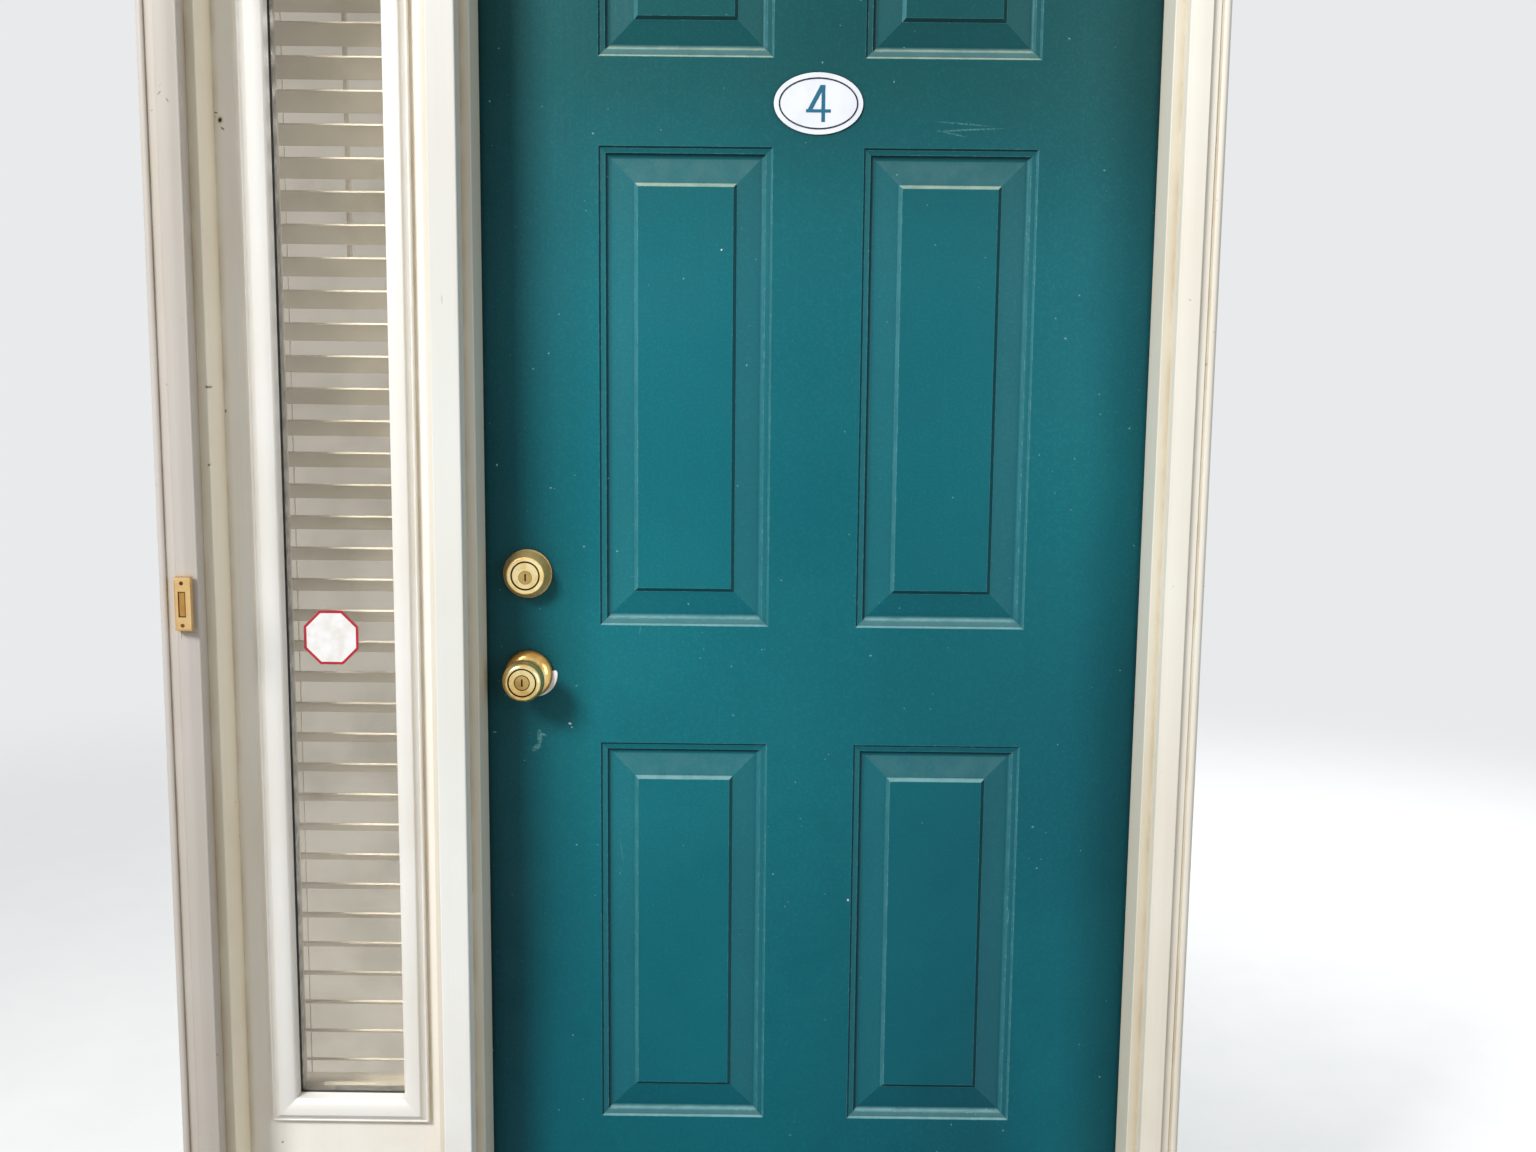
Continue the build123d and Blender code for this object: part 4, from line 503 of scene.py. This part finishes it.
def door_paint():
    """Teal semi-gloss paint, rolled and brushed on pressed steel, with its marks of use, and painted light
    and shade over its face and mouldings.
    """
    material, net, shader = new_material("door_paint", 0.4, specular=0.17)
    mottle = net.noise(14.0, 4.0, shift=3.0)
    strokes = net.noise(1.0, 3.0, stretch=(160.0, 160.0, 2.6))
    stipple = net.noise(330.0, 2.0, shift=1.0)
    patch = net.noise(40.0, 4.0)
    across, _, up = net.facing()
    # Dust on the faces that look up; on the steps it is also a painted highlight
    dust = net.times(net.ramp(up, 0.25, 0.75), net.ramp(patch, 0.3, 0.7, 0.60, 0.95))
    colour = rolled_teal(net, mottle, strokes, stipple)
    colour = painted_light_zones(net, colour)
    colour = painted_slope_light(net, colour, across, up, patch)
    colour, painted_shade = steep_sides(net, colour, across, up, patch, dust)
    colour = grooves_and_ridges(net, colour, painted_shade)
    colour = net.marks(colour, LEAF_SCRAPES, LEAF_DEPTHS, torn=True)
    colour = net.marks(colour, LEAF_SPOTS, LEAF_DEPTHS)
    gloss = net.ramp(mottle, 0.3, 0.75, 0.34, 0.48)
    roughness = net.math("ADD", gloss, net.times(dust, 0.25), clamp=True)
    right_dent = net.mark(0.2821, 0.6175, 0.022, 0.020, soft=0.9)
    left_dent = net.mark(-0.1761, 0.7674, 0.018, 0.016, soft=0.9)
    dents = net.math("MAXIMUM", right_dent, left_dent)
    height = net.math("SUBTRACT", net.times(strokes, 0.5), dents)
    normal = net.bump(stipple, 0.45, 0.00040)
    normal = net.bump(height, 0.5, 0.0008, normal)
    normal = net.bump(net.noise(9.0, 2.0, shift=2.0), 0.4, 0.0014, normal)
    net.coat(shader, colour, roughness, normal)
    return material


# The frame's paint

CREAM = (240, 236, 223)
CREAM_SHADE = (229, 222, 205)


def frame_paint(name, base=CREAM, shade=CREAM_SHADE, level=False, brushed=1.0, spots=(), depths=None,
                painted_even_light=False):
    """Old gloss paint, brushed along the timber, with dirt and a warm painted shade in its corners, a few
    marks, and painted light evened from top to bottom where asked.
    """
    material, net, shader = new_material(name, 0.42, specular=0.35)
    stretch = (2.4, 150.0, 150.0) if level else (150.0, 150.0, 2.4)
    strokes = net.noise(1.0, 4.0, stretch=stretch)
    broad = net.noise(1.0, 3.0, stretch=tuple(s / 6 for s in stretch), shift=4.0)
    cloud = net.noise(2.3, 3.0, shift=1.0)
    colour = net.blend(net.ramp(cloud, 0.3, 0.72), rgb(*base), rgb(*shade))
    colour = net.shade(colour, net.ramp(strokes, 0.52, 0.8, 0.0, 0.55), (0.94, 0.92, 0.88))
    _, _, z = net.axes()
    drops = net.ramp(net.noise(16.0, 5.0, shift=9.0), 0.42, 0.72)
    splash = net.times(net.ramp(z, 0.75, 0.02), drops)
    colour = net.shade(colour, net.times(splash, 0.20), (0.78, 0.71, 0.60))
    # Painted shade: warmer and darker in the recesses
    colour = net.shade(colour, net.times(net.crevice(0.045), 0.85), (0.95, 0.91, 0.84))
    age = net.ramp(net.noise(13.0, 4.0, shift=6.0), 0.3, 0.68, 0.35, 1.0)
    soot = net.times(net.crevice(0.009), age)
    colour = net.shade(colour, net.times(soot, 0.9), (0.64, 0.55, 0.41))
    specks = net.ramp(net.noise(95.0, 2.0, shift=8.0), 0.765, 0.79)
    colour = net.blend(net.times(specks, 0.55), colour, rgb(122, 106, 82))
    worn = net.times(net.edges(0.0010), net.ramp(net.noise(38.0, 4.0, shift=5.0), 0.60, 0.72))
    colour = net.blend(net.times(worn, 0.5), colour, rgb(184, 168, 138))
    if spots:
        colour = net.marks(colour, spots, depths)
    if painted_even_light:
        # Painted light and shade: darker towards the top and lighter towards the bottom, evening out the
        # lamps' falloff
        colour = net.shade(colour, net.ramp(z, 1.15, 1.50), (0.93, 0.92, 0.92))
        colour = net.shade(colour, net.ramp(z, 1.05, 0.50), (1.15, 1.15, 1.19))
    normal = net.bump(strokes, 0.30 * brushed, 0.0005, net.rounded(0.0009))
    normal = net.bump(broad, 0.35 * brushed, 0.0011, normal)
    net.coat(shader, colour, net.ramp(cloud, 0.3, 0.7, 0.36, 0.52), normal)
    return material


def jamb_paint(name, base=CREAM, shade=CREAM_SHADE):
    return frame_paint(name, base, shade, spots=JAMB_SPOTS, depths=JAMB_DEPTHS)


def casing_paint(name, base=CREAM, shade=CREAM_SHADE, level=False, painted_even_light=False):
    return frame_paint(name, base, shade, level, spots=CASING_SPOTS, depths=CASING_DEPTHS, painted_even_light=painted_even_light)


def slab_paint():
    return frame_paint("slab_paint", (252, 250, 246), (244, 240, 232), brushed=0.5,
                       spots=SLAB_SPOTS, depths=SLAB_DEPTHS)


# The other materials

def sill_deck():
    """Mill-finish aluminium, rubbed dull by feet, with grit in the low places."""
    material, net, shader = new_material("sill_deck", 0.4, 1.0)
    drawn = net.noise(1.0, 3.0, stretch=(3.0, 900.0, 900.0))
    scuff = net.noise(18.0, 5.0, shift=3.0)
    colour = net.blend(net.ramp(scuff, 0.35, 0.7), rgb(205, 204, 200), rgb(160, 158, 152))
    dirt = net.times(net.crevice(0.02), net.ramp(net.noise(30.0, 4.0), 0.3, 0.7, 0.3, 1.0))
    colour = net.shade(colour, dirt, (0.45, 0.40, 0.32))
    normal = net.bump(scuff, 0.15, 0.0006, net.bump(drawn, 0.25, 0.0002))
    net.coat(shader, colour, net.ramp(scuff, 0.3, 0.75, 0.30, 0.58), normal)
    return material


def timber(name, light, dark, along, roughness=0.6):
    """Wood with its grain running along one axis, 0 for X, 1 for Y or 2 for Z."""
    material, net, shader = new_material(name, roughness)
    stretch = [14.0, 14.0, 14.0]
    stretch[along] = 0.9
    fibre = [420.0, 420.0, 420.0]
    fibre[along] = 14.0
    figure = net.noise(2.2, 6.0, stretch=tuple(stretch), roughness=0.6)
    rings = net.math("FRACT", net.times(figure, 9.0))
    rings = net.away(net.times(rings, 2.0), 1.0)
    pores = net.noise(1.0, 3.0, stretch=tuple(fibre))
    colour = net.blend(rings, rgb(*light), rgb(*dark))
    colour = net.shade(colour, net.ramp(pores, 0.5, 0.75, 0.0, 0.6), (0.80, 0.74, 0.66))
    matt = net.ramp(rings, 0.0, 1.0, roughness - 0.08, roughness + 0.08)
    net.coat(shader, colour, matt, net.bump(pores, 0.3, 0.0004))
    return material


def foam():
    """Yellowish foam with fine cells."""
    material, net, shader = new_material("foam", 0.9)
    cells = net.add("ShaderNodeTexVoronoi", {"Vector": net.place(), "Scale": 500.0}).outputs[0]
    colour = net.blend(net.noise(12.0, 3.0), rgb(236, 224, 180), rgb(222, 204, 150))
    net.coat(shader, colour, normal=net.bump(cells, 0.4, 0.0008))
    return material


def vinyl(name, light, dark, roughness=0.6):
    """Soft extruded vinyl, cloudy with dust."""
    material, net, shader = new_material(name, roughness)
    cloud = net.noise(26.0, 4.0)
    colour = net.blend(net.ramp(cloud, 0.35, 0.7), rgb(*light), rgb(*dark))
    matt = net.ramp(cloud, 0.3, 0.7, roughness - 0.1, roughness + 0.1)
    net.coat(shader, colour, matt, net.bump(net.noise(700.0, 2.0), 0.2, 0.0003))
    return material


def brass(name, light=(252, 230, 166), dark=(208, 170, 96), wear=1.0, roughness=0.14):
    """Lacquered brass gone a little brown, dull where hands rub it and dark in its grooves."""
    material, net, shader = new_material(name, roughness, 1.0)
    cloud = net.noise(38.0, 4.0)
    spots = net.noise(210.0, 3.0, shift=4.0)
    colour = net.blend(net.ramp(cloud, 0.35, 0.70), rgb(*light), rgb(*dark))
    tarnish = net.times(net.ramp(spots, 0.60, 0.74), 0.40 * wear)
    colour = net.blend(tarnish, colour, rgb(150, 114, 58))
    dirt = net.times(net.crevice(0.0035), 0.9)
    colour = net.blend(dirt, colour, rgb(54, 38, 20))
    dull = net.ramp(cloud, 0.3, 0.72, roughness - 0.05, roughness + 0.09)
    dull = net.math("ADD", dull, net.times(dirt, 0.3))
    net.coat(shader, colour, dull, net.bump(spots, 0.08, 0.0002, net.rounded(0.0003)))
    return material, net, shader, colour


def lock_brass(name, centre, rings, rough, cone, haze, **tones):
    """Brass with dark ring lines round a lock's axis, rougher and hazier towards its rim, with a painted
    dark reflection there.
    """
    material, net, shader, colour = brass(name, **tones)
    _, y, _ = net.axes()
    reach = net.from_axis(*centre)
    outside = net.ramp(y, leaf_face - 0.00345, leaf_face - 0.00745)
    for radius, width, strength in rings:
        line = net.times(net.ramp(net.away(reach, radius), width, width / 2), strength)
        colour = net.blend(net.times(line, outside), colour, rgb(48, 34, 18))
    # Painted dark reflection: darker and browner towards the rim
    rim = net.ramp(reach, 0.0215, 0.0275)
    colour = net.shade(colour, net.times(rim, 0.8), (0.86, 0.68, 0.46))
    smear = net.times(net.ramp(net.noise(55.0, 3.0, shift=21.0), 0.35, 0.7), 0.10)
    matt = net.ramp(reach, 0.0, 0.0285, rough, rough + cone)
    net.coat(shader, colour, net.math("ADD", matt, smear))
    net.feed(shader.inputs["Metallic"], net.math("SUBTRACT", 1.0, net.times(rim, haze)))
    return material


def bell_brass():
    """The doorbell's brass, with a painted shadow line in the gap round its button."""
    material, net, shader, colour = brass("bell_brass", (228, 194, 138), (212, 172, 114), 0.5, 0.34)
    low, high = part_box("doorbell_button")
    x, _, z = net.axes()
    ax = net.away(x, (low[0] + high[0]) / 2)
    az = net.away(z, (low[2] + high[2]) / 2)
    dx = net.math("SUBTRACT", ax, (high[0] - low[0]) / 2)
    dz = net.math("SUBTRACT", az, (high[2] - low[2]) / 2)
    painted_gap_shadow = net.ramp(net.math("MAXIMUM", dx, dz), 0.0014, 0.0006)
    net.coat(shader, net.blend(net.times(painted_gap_shadow, 0.85), colour, rgb(84, 36, 20)))
    return material


def steel(name, light=(190, 190, 188), dark=(140, 140, 138), roughness=0.34):
    """Plain turned or plated steel, with dirt in its grooves."""
    material, net, shader = new_material(name, roughness, 1.0)
    cloud = net.noise(60.0, 4.0)
    turned = net.noise(1.0, 2.0, stretch=(1500.0, 60.0, 60.0))
    colour = net.blend(net.ramp(cloud, 0.35, 0.7), rgb(*light), rgb(*dark))
    colour = net.shade(colour, net.times(net.crevice(0.003), 0.8), (0.35, 0.33, 0.30))
    dull = net.ramp(cloud, 0.3, 0.7, roughness - 0.08, roughness + 0.12)
    net.coat(shader, colour, dull, net.bump(turned, 0.12, 0.0002))
    return material


def moulded(name, light, dark, roughness=0.36, dirt=0.8):
    """Moulded or painted plastic: nearly even, with a fine texture and dust in its corners."""
    material, net, shader = new_material(name, roughness)
    cloud = net.noise(3.2, 3.0)
    fine = net.noise(900.0, 2.0)
    colour = net.blend(net.ramp(cloud, 0.3, 0.7), rgb(*light), rgb(*dark))
    soil = net.times(net.crevice(0.008), net.ramp(net.noise(24.0, 4.0), 0.3, 0.7, 0.3, 1.0))
    colour = net.shade(colour, net.times(soil, dirt), (0.60, 0.53, 0.42))
    matt = net.ramp(cloud, 0.3, 0.7, roughness - 0.06, roughness + 0.08)
    net.coat(shader, colour, matt, net.bump(fine, 0.12, 0.0002, net.rounded(0.0008)))
    return material


def blind_slat():
    """Faux wood slats, embossed with a faint grain along their length, with dust on top."""
    material, net, shader = new_material("blind", 0.45)
    grain = net.noise(1.0, 4.0, stretch=(9.0, 420.0, 420.0))
    cloud = net.noise(4.0, 3.0)
    colour = net.blend(net.ramp(cloud, 0.3, 0.7), rgb(248, 247, 243), rgb(240, 238, 232))
    colour = net.shade(colour, net.ramp(grain, 0.55, 0.8, 0.0, 0.4), (0.88, 0.86, 0.82))
    _, _, up = net.facing()
    dust = net.times(net.ramp(up, 0.35, 0.9), net.ramp(net.noise(70.0, 4.0), 0.3, 0.7, 0.1, 0.5))
    colour = net.shade(colour, dust, (0.86, 0.84, 0.81))
    net.coat(shader, colour, normal=net.bump(grain, 0.15, 0.0002))
    return material


def glass():
    """Clear panes with a faint uneven film of dust."""
    material, net, shader = new_material("glass", 0.0)
    shader.inputs["Transmission Weight"].default_value = 1.0
    shader.inputs["IOR"].default_value = 1.5
    film = net.noise(9.0, 5.0)
    tint = net.blend(net.ramp(film, 0.35, 0.75), rgb(226, 221, 212), rgb(213, 208, 198))
    net.coat(shader, tint, net.ramp(film, 0.45, 0.8, 0.0, 0.006))
    return material


def sticker():
    """A white octagon with a red border, printed on film that has aged a little."""
    material, net, shader = new_material("sticker", 0.35)
    x, _, z = net.axes()
    ax = net.away(x, sticker_x)
    az = net.away(z, sticker_z)
    slant = net.times(net.math("ADD", ax, az), math.sqrt(0.5))
    reach = net.math("MAXIMUM", net.math("MAXIMUM", ax, az), slant)
    border = net.ramp(reach, 0.03375, 0.03405)
    age = net.ramp(net.noise(60.0, 4.0), 0.35, 0.75)
    white = net.blend(age, rgb(238, 238, 240), rgb(222, 219, 214))
    red = net.blend(age, rgb(178, 22, 42), rgb(150, 26, 44))
    normal = net.bump(net.noise(120.0, 3.0), 0.15, 0.0003)
    net.coat(shader, net.blend(border, white, red), normal=normal)
    return material


def enamel():
    """White enamel with a dark blue line and a teal-blue figure, both slightly raised."""
    material, net, shader = new_material("enamel", 0.16)
    shader.inputs["Coat Weight"].default_value = 0.3
    x, y, z = net.axes()
    raised = net.ramp(y, plate_front + 0.00025, plate_front + 0.00021)
    beside = net.ramp(net.away(x, plate_x), 0.0205, 0.0203)
    inner = net.times(beside, net.ramp(net.away(z, plate_z), 0.0275, 0.0273))
    age = net.noise(30.0, 4.0)
    white = net.blend(net.ramp(age, 0.35, 0.75), rgb(238, 242, 250), rgb(228, 232, 240))
    line = net.blend(age, rgb(4, 24, 48), rgb(8, 34, 58))
    figure = net.blend(age, rgb(2, 94, 126), rgb(5, 108, 142))
    colour = net.blend(raised, white, net.blend(inner, line, figure))
    colour = net.shade(colour, net.times(net.crevice(0.003), 0.5), (0.60, 0.58, 0.54))
    normal = net.bump(net.noise(160.0, 2.0), 0.08, 0.0004)
    net.coat(shader, colour, net.ramp(age, 0.3, 0.7, 0.12, 0.22), normal)
    return material


def ring_plastic():
    """Thin moulded plastic, with a painted highlight whiter along its raised outer edge."""
    material, net, shader = new_material("ring_plastic", 0.4)
    cloud = net.ramp(net.noise(60.0, 4.0), 0.35, 0.7)
    flat = net.blend(cloud, rgb(250, 245, 252), rgb(240, 234, 244))
    # Painted highlight along the raised outer edge
    edge_highlight = net.blend(cloud, rgb(255, 255, 255), rgb(248, 248, 252))
    outer = net.ramp(net.from_axis(ring_x, knob_z), 0.0290, 0.0298)
    normal = net.bump(net.noise(500.0, 2.0), 0.2, 0.0002)
    net.coat(shader, net.blend(outer, flat, edge_highlight), normal=normal)
    return material


# The materials on their pieces

def dress(material, *names):
    for name in names:
        for slot in nodes[name].material_slots:
            slot.material = material


def dress_frame():
    dress(jamb_paint("jamb_paint"), "hinge_jamb", "strike_jamb")
    # Painted warm light: the sidelight jamb's paint is lighter and warmer than the other jambs'
    dress(jamb_paint("jamb_paint_warm_light", (249, 242, 225), (239, 229, 207)), "sidelight_jamb")
    dress(jamb_paint("mull_paint", (233, 229, 220), (224, 218, 206)), "mull_jamb")
    dress(frame_paint("head_paint", level=True), "head_jamb")
    dress(casing_paint("casing_upright", (241, 238, 228), (231, 225, 211)), "brickmould_right")
    dress(casing_paint("casing_middle", (231, 232, 227), (225, 224, 217), painted_even_light=True), "mull_casing")
    dress(casing_paint("casing_level", level=True), "brickmould_head")
    # Painted shade: the left casing's paint is darker than the other casings'
    dress(casing_paint("casing_painted_shade", (197, 191, 185), (188, 181, 171)), "brickmould_left")
    dress(slab_paint(), "sidelight_slab")
    dress(timber("sill_timber", (150, 112, 76), (112, 80, 52), 0), "sill_base", "sill_cap")
    dress(sill_deck(), "sill_deck")
    dress(vinyl("weatherstrip", (206, 199, 182), (180, 172, 152)), "weatherstrip")


def dress_locks():
    # Each ring line has its radius, half width and strength
    knob_rings = ((0.0098, 0.0012, 1.0), (0.0186, 0.0014, 1.0))
    collar_rings = ((0.0188, 0.0015, 1.0),)
    knob_brass = lock_brass("knob_brass", (knob_x, knob_z), knob_rings, rough=0.10, cone=0.06, haze=0.22)
    dress(knob_brass, "outer_knob", "inner_knob", "knob_rose_outer", "knob_rose_inner")
    collar_brass = lock_brass("collar_brass", (bolt_x, bolt_z), collar_rings, rough=0.16, cone=0.22,
                              haze=0.50, light=(255, 238, 182), dark=(238, 208, 140))
    dress(collar_brass, "deadbolt_collar", "deadbolt_inner_plate", "deadbolt_thumb_turn", "turn_button")
    brass_dull = brass("brass_dull", wear=1.6, roughness=0.28)[0]
    dress(brass_dull, "strike_plate", "deadbolt_strike", "hinge_frame_leaves", "hinge_door_leaves",
          "hinge_pins", "frame_screws", "leaf_screws", "deadbolt_faceplate", "latch_faceplate",
          "deadbolt_screws")
    plug_brass = brass("plug_brass", (204, 172, 106), (158, 124, 68), 1.4, 0.26)[0]
    dress(plug_brass, "deadbolt_plug", "knob_plug")
    dress(steel("steel"), "lock_chassis", "latch_bolt", "deadbolt_bolt")


def dress_bell():
    dress(bell_brass(), "doorbell_body")
    dress(brass("bell_button", (204, 156, 86), (176, 126, 64), 0.8, 0.30)[0], "doorbell_button")
    dress(steel("bell_screws", (120, 84, 50), (80, 54, 32), 0.42), "doorbell_screws")


def dress_sidelight():
    dress(steel("galvanised", (196, 198, 200), (160, 162, 165), 0.4), "glass_spacer", "blind_brackets")
    dress(moulded("lite_plastic", (237, 236, 233), (229, 226, 220)), "lite_frame_outer", "lite_frame_inner")
    dress(blind_slat(), "blind_slats", "blind_headrail", "blind_bottom_rail")
    dress(moulded("wand_plastic", (226, 225, 220), (210, 208, 200), 0.3, 0.3), "blind_wand")
    dress(glass(), "glass_panes")
    # The panes throw no shadow, so that light reaches the blind
    nodes["glass_panes"].visible_shadow = False
    dress(sticker(), "glass_sticker")


def dress_leaf():
    dress(door_paint(), "door_skin_outer", "door_skin_inner")
    dress(enamel(), "number_plate")
    dress(foam(), "door_core")
    dress(timber("stile_timber", (222, 190, 140), (196, 156, 104), 2), "lock_stile", "hinge_stile")
    dress(timber("rail_timber", (222, 190, 140), (196, 156, 104), 0), "top_rail", "bottom_rail")
    dress(vinyl("sweep", (70, 62, 54), (48, 42, 38)), "door_sweep")


# The pale ring behind the outer rose

def add_ring():
    """A horseshoe of thin plastic that has slipped sideways from behind the rose."""
    shape = bmesh.new()
    rows = []
    for step in range(RING_STEPS + 1):
        angle = math.radians(RING_FIRST - RING_SWEEP * step / RING_STEPS)
        end = min(step, RING_STEPS - step) / RING_ROUNDED_STEPS
        trim = RING_TRIM * max(0.0, 1.0 - end) ** 2
        row = []
        for reach, height in RING_SECTION:
            reach = min(reach, RING_OUTER - trim)
            x = ring_x + reach * math.cos(angle)
            z = knob_z + reach * math.sin(angle)
            row.append(shape.verts.new((x, leaf_face - height, z)))
        rows.append(row)
    count = len(RING_SECTION)
    for a, b in zip(rows, rows[1:]):
        for i in range(count):
            j = (i + 1) % count
            shape.faces.new((a[i], a[j], b[j], b[i]))
    shape.faces.new(rows[0][::-1])
    shape.faces.new(rows[-1])
    bmesh.ops.recalc_face_normals(shape, faces=shape.faces)
    mesh = bpy.data.meshes.new("rose_ring")
    shape.to_mesh(mesh)
    shape.free()
    mesh.materials.append(ring_plastic())
    ring = bpy.data.objects.new("rose_ring", mesh)
    scene.collection.objects.link(ring)
    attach(ring, "door_leaf")
    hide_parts("backing_ring")


# Softened edges on the plain pieces

SOFT_PIECES = ("mull_casing", "sidelight_slab", "sill_base", "sill_deck", "sill_cap")
SOFT_WIDTH = 0.0010
SOFT_ANGLE = 35.0
WELD_DISTANCE = 0.00002


def soften(name):
    """Rounds a piece's sharp edges a little, as paint and handling do."""
    piece = nodes[name]
    weld = piece.modifiers.new("weld", "WELD")
    weld.merge_threshold = WELD_DISTANCE
    bevel = piece.modifiers.new("bevel", "BEVEL")
    bevel.width = SOFT_WIDTH
    bevel.segments = 2
    bevel.limit_method = "ANGLE"
    bevel.angle_limit = math.radians(SOFT_ANGLE)
    bevel.use_clamp_overlap = True
    bevel.harden_normals = False
    normals = piece.modifiers.new("normals", "WEIGHTED_NORMAL")
    normals.keep_sharp = False
    normals.weight = 100


# The whole scene

add_camera()
for lamp in LAMPS:
    add_lamp(*lamp)
add_world()
add_floor()
dress_frame()
dress_leaf()
dress_locks()
dress_bell()
dress_sidelight()
add_ring()
for plain in SOFT_PIECES:
    soften(plain)

scene.view_settings.view_transform = "Standard"
